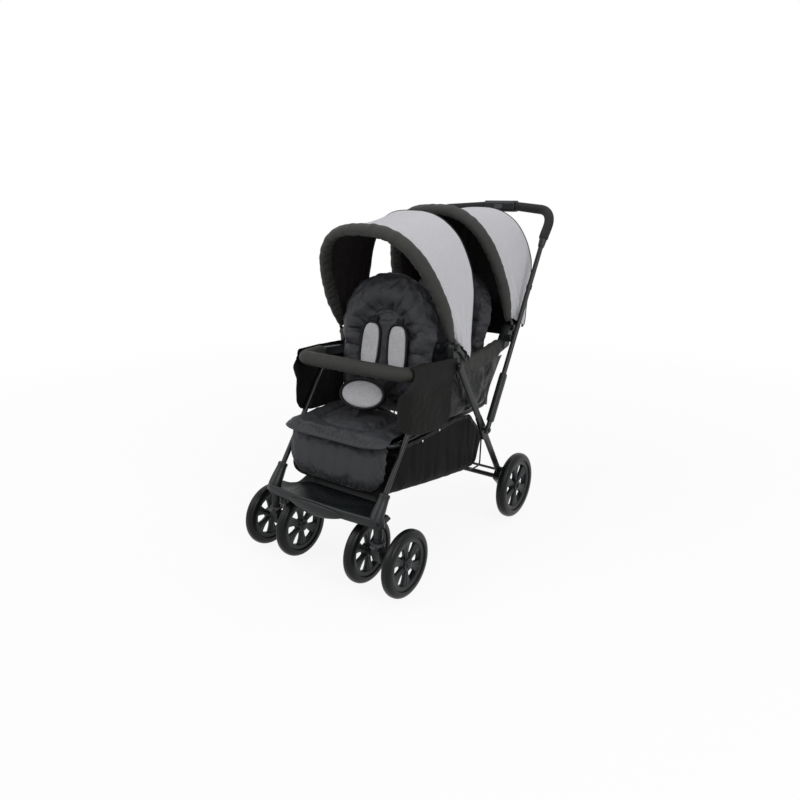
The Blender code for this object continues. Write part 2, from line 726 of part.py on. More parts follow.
def add_rear_legs():
    """Flat-oval legs with a moulded foot, a fold bracket and the stub axle of the rear wheel."""
    mid_x = (REAR_LEG_IN_X + REAR_LEG_OUT_X) / 2
    half_x = (REAR_LEG_OUT_X - REAR_LEG_IN_X) / 2 - TOUCH
    axle = (WHEELBASE, REAR_WHEEL_R)
    hub_half = REAR_TYRE_W * 0.42 + RUNNING
    for side, word in ((1, "left"), (-1, "right")):
        top = np.array([mid_x, *LEG_HUB])
        low = np.array([mid_x, axle[0] - 0.012, axle[1] + 0.019])
        tube = swept([top, low], ring_section(half_x, 0.0093, 12, math.pi / 12))
        leg = add_mesh(f"rear_leg_{word}", mirrored(tube, side), "black_frame",
                       (side * mid_x, *LEG_HUB))
        eye = turned([(0.0066, REAR_LEG_IN_X), (0.0125, REAR_LEG_IN_X), (0.0125, REAR_LEG_OUT_X),
                      (0.0066, REAR_LEG_OUT_X)], 12, (0.0, *LEG_HUB), "x")
        foot = slab(hull_of_circles([(*axle, 0.0165), (axle[0] - 0.024, axle[1] + 0.050, 0.014),
                                     (CROSS_TUBE[0], CROSS_TUBE[1], 0.014)]), *FOOT_X)
        stub = stub_axle(axle, FOOT_X[1] - 0.003, REAR_WHEEL_X + hub_half, False, True)
        bracket = slab(hull_of_circles([(*FOLD_PIVOT, 0.0140), (FOLD_PIVOT[0] - 0.030, FOLD_PIVOT[1] + 0.047, 0.009),
                                        (FOLD_PIVOT[0] + 0.012, FOLD_PIVOT[1] - 0.030, 0.009)]),
                       REAR_LEG_IN_X - 0.001, REAR_LEG_OUT_X + 0.0006)
        bore = rod(LEG_HUB, 0.0066, REAR_LEG_IN_X - 0.004, REAR_LEG_OUT_X + 0.004)
        pin = stepped_pin(FOLD_PIVOT, 0.0045, REAR_LEG_OUT_X - 0.003, PUSH_TUBE_X + PUSH_TUBE_R + TOUCH,
                          0.0080, 0.0020)
        combine(leg, "UNION", [mirrored(s, side) for s in (eye, foot, stub, bracket)])
        combine(leg, "DIFFERENCE", [mirrored(bore, side)])
        combine(leg, "UNION", [mirrored(pin, side)])


def add_rear_axle():
    half = FOOT_X[0] - TOUCH
    tube = rod(CROSS_TUBE, CROSS_TUBE_R, -half, half, 12)
    add_mesh("rear_axle", tube, "black_frame", (0.0, *CROSS_TUBE))


def add_brake_pedal():
    """A linked brake: a bar between the feet, turned by a ribbed pedal plate in the middle."""
    bar_y = WHEELBASE - 0.002
    bar_z = REAR_WHEEL_R + 0.042
    half = FOOT_X[0] - TOUCH
    pedal = add_mesh("brake_pedal", rod((bar_y, bar_z), 0.0045, -half, half, 10), "button_plastic",
                     (0.0, bar_y, bar_z))
    plate = slab([(bar_y - 0.006, bar_z - 0.003), (bar_y + 0.020, bar_z - 0.004), (bar_y + 0.055, bar_z + 0.008),
                  (bar_y + 0.054, bar_z + 0.014), (bar_y + 0.018, bar_z + 0.004), (bar_y - 0.006, bar_z + 0.004)],
                 -0.045, 0.045)
    combine(pedal, "UNION", [plate])


def add_basket_wire():
    """The bent wire that hangs from the seat rails behind the basket and runs under its rear edge."""
    rail_bottom = SEAT_RAIL_Z - SEAT_RAIL_R - TOUCH
    x = 0.186
    low_z = BASKET_REAR_FLOOR - BASKET_WIRE_R - TOUCH
    side = [(SEAT_RAIL_X, 0.528, rail_bottom - 0.0012), (x, 0.562, 0.330), (x, 0.556, low_z), (x, 0.500, low_z)]
    corners = side + [(-a, b, c) for a, b, c in reversed(side)]
    path = rounded_path(corners, 0.014, 3)
    add_mesh("basket_wire", swept(path, ring_section(BASKET_WIRE_R, BASKET_WIRE_R, 6)), "black_frame")


# Push handle


def push_run():
    """How far the push tube runs back for each unit that it rises."""
    return (PUSH_TOP[0] - FOLD_PIVOT[0]) / (PUSH_TOP[1] - FOLD_PIVOT[1])


def push_x(z):
    """Distance of the push tube's centre line from the middle plane at a height."""
    share = (z - FOLD_PIVOT[1]) / (PUSH_TOP[1] - FOLD_PIVOT[1])
    return PUSH_TUBE_X + (PUSH_TOP_X - PUSH_TUBE_X) * share


def push_direction():
    way = np.array([PUSH_TOP_X - PUSH_TUBE_X, PUSH_TOP[0] - FOLD_PIVOT[0], PUSH_TOP[1] - FOLD_PIVOT[1]])
    return way / np.linalg.norm(way)


SLEEVE_R = 0.0108
SLEEVE_FROM = 0.030
SLEEVE_LENGTH = 0.118


def add_push_tubes():
    way = push_direction()
    for side, word in ((1, "left"), (-1, "right")):
        pivot = np.array([PUSH_TUBE_X, *FOLD_PIVOT])
        top = np.array([PUSH_TOP_X, *PUSH_TOP])
        start = pivot - way * 0.012
        tube = add_mesh(f"push_tube_{word}",
                        mirrored(swept([start, top], ring_section(PUSH_TUBE_R, PUSH_TUBE_R, 12)), side),
                        "black_frame", (side * pivot[0], pivot[1], pivot[2]))
        collar = swept([top - way * 0.030, top - way * 0.022, top], np.stack(
            [ring_section(0.0086, 0.0086, 12), ring_section(0.0110, 0.0120, 12), ring_section(0.0125, 0.0135, 12)]))
        clip = swept([pivot + way * 0.500, pivot + way * 0.514], ring_section(0.0098, 0.0098, 10))
        bore = rod(FOLD_PIVOT, 0.0051, PUSH_TUBE_X - 0.02, PUSH_TUBE_X + 0.02)
        combine(tube, "UNION", [mirrored(collar, side), mirrored(clip, side)])
        combine(tube, "DIFFERENCE", [mirrored(bore, side)])
        low = pivot + way * SLEEVE_FROM
        high = low + way * SLEEVE_LENGTH
        body = swept([low, low + way * 0.006, high - way * 0.006, high], np.stack(
            [ring_section(SLEEVE_R * s, SLEEVE_R * s, 12) for s in (0.93, 1.0, 1.0, 0.93)]))
        sleeve = add_mesh(f"fold_sleeve_{word}", mirrored(body, side), "moulded_plastic",
                          (side * low[0], low[1], low[2]))
        tab_at = low + way * 0.078
        tab = box((tab_at[0] - 0.004, tab_at[1] + 0.006, tab_at[2] - 0.006),
                  (tab_at[0] + 0.004, tab_at[1] + 0.017, tab_at[2] + 0.004))
        hollow = swept([low - way * 0.01, high + way * 0.01],
                       ring_section(PUSH_TUBE_R + RUNNING, PUSH_TUBE_R + RUNNING, 12))
        combine(sleeve, "UNION", [mirrored(tab, side)])
        combine(sleeve, "DIFFERENCE", [mirrored(hollow, side)])


BLOCK_HALF_W = 0.062


def grip_path():
    """The centre line of the grips, from the left tube joint round to the right one."""
    top = np.array([PUSH_TOP_X, *PUSH_TOP])
    corners = [top + push_direction() * TOUCH, top + push_direction() * 0.030,
               (PUSH_TOP_X, HANDLE_Y - 0.040, HANDLE_Z - 0.012), (PUSH_TOP_X - 0.060, HANDLE_Y, HANDLE_Z),
               (BLOCK_HALF_W, HANDLE_Y + HANDLE_MID_BOW, HANDLE_Z + 0.002)]
    corners += [(-a, b, c) for a, b, c in reversed(corners)]
    return rounded_path(corners, 0.045, 3)


def add_handle():
    pivot = (0.0, *FOLD_PIVOT)
    grip = add_mesh("handle_grip", swept(grip_path(), ring_section(GRIP_R, GRIP_R, 12), (0.0, 0.0, 1.0)),
                    "foam_grip", pivot)
    mid = (HANDLE_Y + HANDLE_MID_BOW, HANDLE_Z + 0.002)
    block_outline = rounded_rectangle(mid[0] - 0.021, mid[0] + 0.021, mid[1] - 0.020, mid[1] + 0.020, 0.009, 3)
    room = slab([(mid[0] - 0.03, mid[1] - 0.03), (mid[0] + 0.03, mid[1] - 0.03),
                 (mid[0] + 0.03, mid[1] + 0.03), (mid[0] - 0.03, mid[1] + 0.03)],
                -BLOCK_HALF_W - TOUCH, BLOCK_HALF_W + TOUCH)
    core = swept([(-BLOCK_HALF_W - 0.01, *mid), (BLOCK_HALF_W + 0.01, *mid)],
                 ring_section(0.0095, 0.0095, 12), (0.0, 0.0, 1.0))
    combine(grip, "DIFFERENCE", [room])
    combine(grip, "UNION", [core])
    block = add_mesh("handle_block", slab(block_outline, -BLOCK_HALF_W, BLOCK_HALF_W), "moulded_plastic", pivot)
    soften(block, 0.002)
    hollow = swept([(-BLOCK_HALF_W - 0.02, *mid), (BLOCK_HALF_W + 0.02, *mid)],
                   ring_section(0.0099, 0.0099, 12), (0.0, 0.0, 1.0))
    well = slab(rounded_rectangle(-0.0175, 0.0175, mid[1] - 0.0085, mid[1] + 0.0085, 0.004, 2),
                mid[0] - 0.030, mid[0] - 0.0135, "y")
    combine(block, "DIFFERENCE", [hollow, well])
    key = slab(rounded_rectangle(-0.0170, 0.0170, mid[1] - 0.0080, mid[1] + 0.0080, 0.004, 2),
               mid[0] - 0.0245, mid[0] - 0.0190, "y")
    add_mesh("handle_button", key, "button_plastic", (0.0, mid[0] - 0.0245, mid[1]))


# Canopies

EYE_PIN_R = 0.0045
EYE_R = 0.0110
EYE_X = ((0.2226, 0.2256), (0.2259, 0.2289))
BOW_START_H = (0.036, 0.098)
BOW_STRAP_H = (0.020, 0.070)
BOW_LAP = 0.014
TAPER_END_H = 0.105
TAPER_SHARE = 0.42
FABRIC_START_H = 0.052


def arch(height, steps, start_h):
    """Half width and height of a bow, along a superellipse from hub to hub."""
    low = math.asin((start_h / height) ** (BOW_POWER / 2))
    angles = np.linspace(low, math.pi - low, steps)
    cosine = np.cos(angles)
    across = BOW_HALF_W * np.sign(cosine) * np.abs(cosine) ** (2 / BOW_POWER)
    return across, height * np.sin(angles) ** (2 / BOW_POWER)


def leaning(across, up, lean_degrees, hub):
    """Points at `up` from the hub line, along a direction that leans back by the given angle."""
    lean = np.radians(lean_degrees)
    return np.stack([across + 0 * up, hub[0] + up * np.sin(lean), hub[1] + up * np.cos(lean)], axis=-1)


def add_bow(name, hub, height, lean, radius, place, finish, steps, sides):
    """A bow on flat straps that turn on the hub pins.

    place is 0 for the padded front bow, whose sleeve tapers down to its straps, and 1
    for the wire of the rear one, which starts higher so that the two can close up.
    """
    start_h = BOW_START_H[place]
    eye_x = EYE_X[place]
    across, up = arch(height, steps, start_h)
    lean_rad = math.radians(lean)
    plane_normal = (0.0, math.cos(lean_rad), -math.sin(lean_rad))
    low_share = 1.0 if place else TAPER_SHARE
    scale = np.interp(up, (start_h, TAPER_END_H), (low_share, 1.0))
    rings = np.stack([ring_section(radius * s, radius * s, sides) for s in scale])
    bow = add_mesh(name, swept(leaning(across, up, lean, hub), rings, plane_normal), finish, (0.0, *hub))
    parts = []
    cuts = []
    strap_x = sum(eye_x) / 2
    for side in (1, -1):
        strap = leaning(np.array([strap_x, strap_x, BOW_HALF_W + radius * 0.3]),
                        np.array([0.0, BOW_STRAP_H[place], start_h + BOW_LAP]), lean, hub)
        strap_section = ring_section(0.0020, 0.0064, 4, math.pi / 4)
        parts.append(mirrored(swept(strap, strap_section, (1.0, 0.0, 0.0)), side))
        eye = turned([(0.0, eye_x[0]), (EYE_R, eye_x[0]), (EYE_R, eye_x[1]), (0.0, eye_x[1])], 10,
                     (0.0, *hub), "x")
        parts.append(mirrored(eye, side))
        cuts.append(mirrored(rod(hub, EYE_PIN_R + RUNNING, eye_x[0] - 0.002, eye_x[1] + 0.002, 10), side))
    combine(bow, "UNION", parts)
    combine(bow, "DIFFERENCE", cuts)


def canopy_cloth(hub, height, leans, columns=19, rows=6):
    """The cover between the bows: it sags a little between them and falls back at its free corners."""
    across, up = arch(height + BOW_WIRE_R + 0.001, columns, FABRIC_START_H)
    share = np.linspace(0, 1, rows)[:, None]
    front_gap = np.degrees((BOW_SLEEVE_R + 0.0007) / up)
    rear_gap = np.degrees((BOW_WIRE_R + 0.0007) / up)
    lean = (leans[0] + front_gap) * (1 - share) + (leans[1] - rear_gap) * share
    sag = 1 - 0.030 * np.sin(np.pi * share) * (up / height) ** 2
    return leaning(np.repeat(across[None], rows, 0), up * sag, lean, hub)


def add_canopies():
    for label, hub, height, leans in (("front", CANOPY_HUB, FRONT_BOW_H, FRONT_CANOPY_LEANS),
                                      ("rear", REAR_CANOPY_HUB, REAR_BOW_H, REAR_CANOPY_LEANS)):
        add_bow(f"{label}_canopy_front_bow", hub, height, leans[0], BOW_SLEEVE_R, 0, "rim_cloth", 17, 8)
        add_bow(f"{label}_canopy_rear_bow", hub, height, leans[1], BOW_WIRE_R, 1, "black_frame", 17, 6)
        add_mesh(f"{label}_canopy_cover", thick_sheet(canopy_cloth(hub, height, leans), FABRIC_T), "grey_cloth",
                 (0.0, *hub))


# Seats


PANEL_IN_X = FRONT_LEG_X + FRONT_LEG_R + TOUCH
PANEL_T = 0.004


def add_side_panels():
    """Cloth hung from the bumper sleeve outside each front leg, its corners rounded."""
    top = ARM_Z - math.sqrt(ARM_SLEEVE_R ** 2 - (PANEL_IN_X - ARM_X) ** 2) - TOUCH
    hub_clear = LEG_TOP_CENTRE[1] - 0.0205
    steps = np.linspace(0.0, 1.0, 5)[:-1]
    front = bezier((0.030, 0.470), (0.034, 0.425), (0.085, 0.430), steps)
    rear = bezier((0.200, 0.436), (0.286, 0.440), (0.288, 0.500), steps)
    upper = [(0.100, top), (0.162, top), (0.196, hub_clear), (0.302, hub_clear), (0.288, 0.500)]
    outline = upper + rear[::-1] + [(0.085, 0.430)] + front[::-1]
    for side, word in ((1, "left"), (-1, "right")):
        panel = slab(outline, PANEL_IN_X, PANEL_IN_X + PANEL_T)
        add_mesh(f"side_panel_{word}", mirrored(panel, side), "rim_cloth")


def bezier(start, pull, end, steps):
    """Places on the quadratic curve from start to end drawn towards pull."""
    start, pull, end = (np.asarray(a, float) for a in (start, pull, end))
    return [tuple((1 - t) ** 2 * start + 2 * t * (1 - t) * pull + t * t * end) for t in steps]


def add_rear_sling():
    """The cloth tub of the rear seat: down one side, under the pad and up the other side."""
    top = ARM_Z - ARM_SLEEVE_R - 0.0023
    floor = SEAT_RAIL_Z + SEAT_RAIL_R + 0.0023
    half_w = 0.2115
    corners = [(half_w, 0.0, top), (half_w, 0.0, floor), (-half_w, 0.0, floor), (-half_w, 0.0, top)]
    section = rounded_path(corners, 0.022, 3)
    grid = []
    for share in np.linspace(0, 1, 5):
        height = (section[:, 2] - floor) / (top - floor)
        row = section.copy()
        row[:, 1] = 0.372 + share * (0.518 - 0.372 + height * 0.122)
        grid.append(row)
    add_mesh("rear_seat_sling", thick_sheet(np.array(grid), 0.004), "seat_cloth")


def front_seat_fullness(u, v):
    """A seat pad with a raised front roll and side rolls round a sunken middle."""
    side_roll = 0.006 * np.exp(-((np.abs(u) - 0.80) / 0.14) ** 2)
    front_roll = 0.007 * np.exp(-((v + 0.72) / 0.18) ** 2)
    seam = 0.005 * np.exp(-((np.abs(u) - 0.58) / 0.05) ** 2) * (v > -0.6)
    return 0.014 + side_roll + front_roll - seam, 0.0125 + 0 * u


def add_seat_pads():
    half_l = 0.117

    def front_width(v):
        return PAD_HALF_W * (1 - 0.04 * np.clip(-v, 0, 1) ** 4)

    middle = (0.0, 0.117, 0.4345)
    along = np.array([0.0, 1.0, 0.045])
    along /= np.linalg.norm(along)
    normal = np.cross((1.0, 0.0, 0.0), along)
    add_mesh("front_seat_pad", pad(middle, (1, 0, 0), along, normal, front_width, half_l, front_seat_fullness),
             "seat_cloth")

    def rear_fullness(u, v):
        return 0.013 + 0.006 * np.exp(-((np.abs(u) - 0.78) / 0.15) ** 2), 0.012 + 0 * u

    add_mesh("rear_seat_pad", pad((0.0, 0.478, 0.4357), (1, 0, 0), (0, 1, 0), (0, 0, 1),
                                  lambda v: 0.172 + 0 * v, 0.096, rear_fullness, 11, 9), "seat_cloth")


def back_width(half_w):
    def width(v):
        shoulder = np.sqrt(np.clip(1 - (np.clip(v - 0.15, 0, 1) / 0.85) ** 2.4, 0.0, 1))
        waist = 1 - 0.10 * np.clip(-v, 0, 1)
        return half_w * np.maximum(waist * shoulder, 0.16)
    return width


def back_fullness(u, v):
    """A backrest whose outer roll stands round a flatter middle panel, like a horseshoe."""
    edge = np.maximum(np.abs(u), np.clip((v + 0.1) / 1.1, 0, 1))
    roll = 0.016 * np.exp(-((edge - 0.80) / 0.17) ** 2)
    return BACK_PANEL_T + roll, 0.011 + 0 * u


def add_backrest(label, hinge, half_w, height, lean, frame_x):
    """A padded backrest in front of the bent tube that it hinges on."""
    tilt = math.radians(lean)
    along = np.array([0.0, math.sin(tilt), math.cos(tilt)])
    normal = np.array([0.0, -math.cos(tilt), math.sin(tilt)])
    base = np.array([0.0, *hinge])
    stand_off = BACK_FRAME_R + BACK_SKIN_T
    middle = base + along * (0.034 + height / 2) + normal * stand_off
    add_mesh(f"{label}_backrest_pad", pad(middle, (1, 0, 0), along, normal, back_width(half_w), height / 2,
                                          back_fullness), "seat_cloth", base)
    top = base + along * (height - 0.060)
    corners = [base + (frame_x, 0, 0), top + (frame_x, 0, 0), top - (frame_x, 0, 0), base - (frame_x, 0, 0)]
    section = ring_section(BACK_FRAME_R, BACK_FRAME_R, 8)
    frame = add_mesh(f"{label}_back_frame", swept(rounded_path(corners, 0.050, 4), section, (0.0, *normal[1:])),
                     "black_frame", base)
    feet = [rod(hinge, 0.0085, side * frame_x - 0.008, side * frame_x + 0.008, 10) for side in (1, -1)]
    combine(frame, "UNION", feet)
    return base, along, normal


def add_hinge_tube(label, hinge, frame_x):
    """Ears on the seat rails for the backrest pivots."""
    ears = []
    for side in (1, -1):
        low = frame_x + 0.008 + TOUCH
        ears.append(mirrored(slab(hull_of_circles([(*hinge, 0.0085), (hinge[0], SEAT_RAIL_Z, 0.0065)]),
                                  low, SEAT_RAIL_X + 0.001), side))
    combine(bpy.data.objects["seat_frame"], "UNION", ears)


def calf_width(v):
    return 0.166 * (1 - 0.10 * np.clip((v + 0.2) / 1.2, 0, 1) ** 3)


def add_calf_pad():
    tilt = math.radians(-9.0)
    down = np.array([0.0, math.sin(tilt), -math.cos(tilt)])
    normal = np.array([0.0, -math.cos(tilt), -math.sin(tilt)])
    base = np.array([0.0, CALF_HINGE[0], CALF_HINGE[1]])
    middle = base + down * 0.082
    add_mesh("front_calf_pad", pad(middle, (1, 0, 0), down, normal, calf_width, 0.076,
                                   lambda u, v: (0.012 + 0.003 * np.cos(v * 1.4), 0.008 + 0 * u), 11, 9),
             "seat_cloth", base)


# Harnesses


def strap_pair(front, along, normal, spread, low, high):
    """Two shoulder pads, and the waist strap that joins their lower ends."""
    pads = []
    for side in (1, -1):
        start = front + along * low + np.array([side * spread, 0, 0])
        end = front + along * high + np.array([side * spread, 0, 0])
        section = ring_section(0.0200, STRAP_HALF_T, 10)
        rings = np.stack([section * s for s in (0.75, 1.0, 1.0, 0.75)])
        path = [start + (end - start) * s for s in (0.0, 0.12, 0.88, 1.0)]
        pads.append(swept(path, rings))
    waist_at = front + along * (low + 0.0193) + normal * 0.0004
    waist = swept([waist_at - (spread + 0.002, 0, 0), waist_at + (spread + 0.002, 0, 0)],
                  ring_section(WAIST_HALF_T, 0.0105, 8), normal)
    return pads, waist, waist_at


WAIST_HALF_T = 0.0022
BUCKLE_T = 0.014


def add_harness(label, base, along, normal, low, high, lean):
    """The shoulder and waist straps on a backrest, and the buckle that closes them."""
    front = base + normal * (BACK_FRAME_R + BACK_SKIN_T + BACK_PANEL_T + STRAP_HALF_T + 2 * TOUCH)
    pads, waist, waist_at = strap_pair(front, along, normal, 0.052, low, high)
    harness = add_mesh(f"{label}_harness", pads[0], "grey_cloth", base)
    combine(harness, "UNION", [waist, pads[1]])
    face = waist_at + normal * (WAIST_HALF_T + TOUCH + BUCKLE_T)
    add_buckle(label, face, lean)


def add_buckle(label, face, lean):
    """A buckle body with the release button in its front, both square to the backrest."""
    y, z = face[1:]
    shell = slab(rounded_rectangle(-0.024, 0.024, z - 0.017, z + 0.017, 0.008, 3), y, y + BUCKLE_T, "y")
    buckle = add_mesh(f"{label}_buckle", turned_about_x(shell, (y, z), -lean), "moulded_plastic", face)
    well = turned([(0.0, -0.002), (0.0088, -0.002), (0.0088, 0.0085), (0.0, 0.0085)], 12, face, "y")
    combine(buckle, "DIFFERENCE", [turned_about_x(well, (y, z), -lean)])
    button = turned([(0.0, -0.0006), (0.0070, -0.0006), (0.0082, 0.0002), (0.0082, 0.0040), (0.0, 0.0040)],
                    12, face, "y")
    add_mesh(f"{label}_buckle_button", turned_about_x(button, (y, z), -lean), "button_plastic", face)


def add_belly_pad():
    """The waist pad over the front buckle, with its crotch strap down to the seat."""
    tilt = math.radians(32.0)
    up = np.array([0.0, math.sin(tilt), math.cos(tilt)])
    normal = np.array([0.0, -math.cos(tilt), math.sin(tilt)])

    def width(v):
        return 0.066 * (1 - 0.30 * np.abs(v) ** 2)

    belly = add_mesh("front_belly_pad", pad((0.0, 0.150, 0.520), (1, 0, 0), up, normal, width, 0.042,
                                            lambda u, v: (0.007 + 0 * u, 0.006 + 0 * u), 9, 7), "grey_cloth")
    strap = swept([(0.0, 0.136, 0.494), (0.0, 0.0957, 0.4488)], ring_section(0.0125, 0.0013, 8))
    combine(belly, "UNION", [strap])


def add_seats():
    front = add_backrest("front", FRONT_BACK_HINGE, BACK_HALF_W, 0.398, FRONT_BACK_LEAN, 0.150)
    rear = add_backrest("rear", REAR_BACK_HINGE, REAR_BACK_HALF_W, 0.380, REAR_BACK_LEAN, 0.140)
    add_hinge_tube("front", FRONT_BACK_HINGE, 0.150)
    add_hinge_tube("rear", REAR_BACK_HINGE, 0.140)
    add_harness("front", *front, 0.110, 0.285, FRONT_BACK_LEAN)
    add_harness("rear", *rear, 0.110, 0.275, REAR_BACK_LEAN)
    add_belly_pad()


# Basket


def lofted(sections):
    """A closed solid through flat sections that all have the same number of points."""
    count = len(sections[0])
    points = np.concatenate(sections)
    faces = [tuple(range(count)), tuple(range(len(points) - count, len(points)))[::-1]]
    for row in range(len(sections) - 1):
        for i in range(count):
            j = (i + 1) % count
            a = row * count
            faces.append((a + i, a + count + i, a + count + j, a + j))
    return points, faces


def basket_sections(inset, rise):
    """One bent line across the basket at each station, moved in and up for the inside.

    A station is (y at the top, y at the floor, height of the top, height of the floor,
    half width).
    """
    top = SEAT_RAIL_Z - SEAT_RAIL_R - TOUCH
    leg_in_x = FRONT_LEG_X - FRONT_LEG_R - TOUCH
    stations = ((0.100, 0.044, top, 0.287, leg_in_x), (0.170, 0.130, top, 0.252, 0.200),
                (0.250, 0.230, top, 0.238, 0.206), (0.350, 0.340, top, 0.220, 0.206),
                (0.440, 0.440, top, 0.205, 0.204), (0.5485, 0.5045, 0.318, BASKET_REAR_FLOOR, 0.192))
    sections = []
    for number, (top_y, low_y, top_z, floor_z, half_w) in enumerate(stations):
        end = {0: inset, len(stations) - 1: -inset}.get(number, 0.0)
        lean = (top_y - low_y) / (top_z - floor_z)
        low = np.array([half_w - inset, low_y + end + lean * inset, floor_z + inset])
        high = np.array([half_w - inset, top_y + end + lean * rise, top_z + rise])
        flip = np.array([-1, 1, 1])
        sections.append(rounded_path([high, low, low * flip, high * flip], 0.034, 3))
    return sections


def add_basket():
    """A sagging open-topped cloth basket between the front legs and the rear wire."""
    basket = add_mesh("basket", lofted(basket_sections(0.0, 0.0)), "basket_cloth")
    combine(basket, "DIFFERENCE", [lofted(basket_sections(BASKET_T, 0.020))])


def build():
    clear_scene()
    footprint = bpy.data.objects.new("footprint", None)
    bpy.context.scene.collection.objects.link(footprint)
    footprint.location = (0.0, SHIFT_Y, 0.0)
    add_casters()
    add_footboard()
    add_front_frame()
    add_arm_hubs()
    add_seat_frame()
    add_bumper_bar()
    add_rear_arms()
    add_rear_legs()
    add_rear_axle()
    add_brake_pedal()
    add_basket_wire()
    for side, word in ((1, "left"), (-1, "right")):
        centre = (side * REAR_WHEEL_X, WHEELBASE, REAR_WHEEL_R)
        add_wheel(f"rear_{word}", REAR_WHEEL_R, REAR_TYRE_W, centre)
    add_push_tubes()
    add_handle()
    add_canopies()
    add_side_panels()
    add_rear_sling()
    add_seat_pads()
    add_calf_pad()
    add_seats()
    add_basket()


build()
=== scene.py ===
"""The look of a tandem double stroller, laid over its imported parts.

The file is laid out as an add-on; run as a script it makes every piece in turn.
Metres, +Z up, travelling towards -Y, left side at +X. Places are measured from the
front wheel axle line on the floor, and every piece is moved back by FOOTPRINT_SHIFT
as it is made, so that the middle of the footprint is the origin.
"""

import math

import bpy
import numpy as np
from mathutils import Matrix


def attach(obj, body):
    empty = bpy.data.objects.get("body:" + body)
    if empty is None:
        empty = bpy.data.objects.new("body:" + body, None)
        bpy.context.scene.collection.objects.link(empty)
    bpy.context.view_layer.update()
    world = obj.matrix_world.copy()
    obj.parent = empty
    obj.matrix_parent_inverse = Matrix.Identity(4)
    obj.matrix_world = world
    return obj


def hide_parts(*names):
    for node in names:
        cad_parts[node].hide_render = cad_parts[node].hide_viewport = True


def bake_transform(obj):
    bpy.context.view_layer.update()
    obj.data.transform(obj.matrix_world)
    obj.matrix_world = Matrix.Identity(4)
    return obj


bl_info = {
    "name": "Tandem stroller look",
    "version": (1, 0, 0),
    "blender": (4, 5, 0),
    "location": "3D View > Sidebar > Stroller",
    "description": "Sewn cloth, tubes, wheels and studio for a tandem double stroller",
    "category": "Object",
}

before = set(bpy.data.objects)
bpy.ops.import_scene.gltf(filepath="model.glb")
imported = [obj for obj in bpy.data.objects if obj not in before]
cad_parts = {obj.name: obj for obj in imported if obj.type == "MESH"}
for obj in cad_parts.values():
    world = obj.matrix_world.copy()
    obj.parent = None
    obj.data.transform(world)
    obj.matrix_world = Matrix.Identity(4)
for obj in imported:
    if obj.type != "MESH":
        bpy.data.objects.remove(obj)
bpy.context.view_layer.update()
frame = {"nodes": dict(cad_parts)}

FOOTPRINT_SHIFT = np.array([0.0, -0.453, 0.0])
SIDES = ((1, "left"), (-1, "right"))

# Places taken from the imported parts
FRONT_LEG_FOOT = np.array([0.200, -0.020, 0.262])
FRONT_LEG_TOP_Z = 0.598
REAR_AXLE = (0.6445, 0.114)
ARM_X = (0.1905, 0.2222)
ARM_CAP_X = 0.2210

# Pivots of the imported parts, as (y, z)
LEG_HUB = (0.332, 0.597)
CANOPY_HUB = (0.325, 0.655)
REAR_CANOPY_HUB = (0.680, 0.662)
FOLD_PIVOT = (0.487, 0.356)
FRONT_BACK_HINGE = (0.262, 0.437)
REAR_BACK_HINGE = (0.588, 0.450)
FRONT_BACK_LEAN = 9.0
REAR_BACK_LEAN = 13.0


# Meshes


def skin(grid, wrap_rows=False, wrap_columns=False, span=(1.0, 1.0)):
    """Quads over a grid of points (rows, columns, 3), with texture places that run
    from 0 to span along the columns and the rows. A wrapped side joins end to start."""
    rows, columns = grid.shape[:2]
    r, c = np.meshgrid(np.arange(rows if wrap_rows else rows - 1),
                       np.arange(columns if wrap_columns else columns - 1), indexing="ij")
    r1, c1 = (r + 1) % rows, (c + 1) % columns
    faces = np.stack([r * columns + c, r * columns + c1, r1 * columns + c1, r1 * columns + c], -1)
    u = np.stack([c, c + 1, c + 1, c], -1) * span[0] / (c.max() + 1)
    v = np.stack([r, r, r + 1, r + 1], -1) * span[1] / (r.max() + 1)
    return grid.reshape(-1, 3), faces.reshape(-1, 4), np.stack([u, v], -1).reshape(-1, 4, 2)


def joined(*shapes):
    """Several (points, faces, places) as one."""
    starts = np.cumsum([0] + [len(s[0]) for s in shapes[:-1]])
    faces = [np.where(s[1] < 0, -1, s[1] + start) for s, start in zip(shapes, starts)]
    return (np.concatenate([s[0] for s in shapes]), np.concatenate(faces),
            np.concatenate([s[2] for s in shapes]))


def fan(loop, centre, reverse=False):
    """Triangles from each edge of a closed loop of point numbers to one centre point."""
    ahead = np.roll(loop, -1)
    first, second = (ahead, loop) if reverse else (loop, ahead)
    return np.stack([first, second, np.full(len(loop), centre), np.full(len(loop), -1)], -1)


def with_ends(shape, count, ends):
    """A run of loops of `count` points, its first and last loop each closed by a fan to one
    of the two points in `ends`."""
    points, faces, places = shape
    total = len(points)
    caps = np.concatenate([fan(np.arange(count), total, True),
                           fan(np.arange(total - count, total), total + 1)])
    return (np.concatenate([points, ends]), np.concatenate([faces, caps]),
            np.concatenate([places, np.zeros((len(caps), 4, 2))]))


def facing_out(shape):
    """The closed shape with its faces turned round if the volume they enclose is negative."""
    points, faces, places = shape
    third = np.where(faces[:, 3] < 0, faces[:, 2], faces[:, 3])
    a, b, c, d = points[faces[:, 0]], points[faces[:, 1]], points[faces[:, 2]], points[third]
    volume = (np.einsum("ij,ij->i", a, np.cross(b, c)).sum()
              + np.einsum("ij,ij->i", a, np.cross(c, d)).sum())
    if volume >= 0:
        return shape
    quads = faces[:, 3] >= 0
    turned_faces = faces.copy()
    turned_places = places.copy()
    turned_faces[quads] = faces[quads][:, ::-1]
    turned_places[quads] = places[quads][:, ::-1]
    turned_faces[~quads, :3] = faces[~quads, 2::-1]
    turned_places[~quads, :3] = places[~quads, 2::-1]
    return points, turned_faces, turned_places


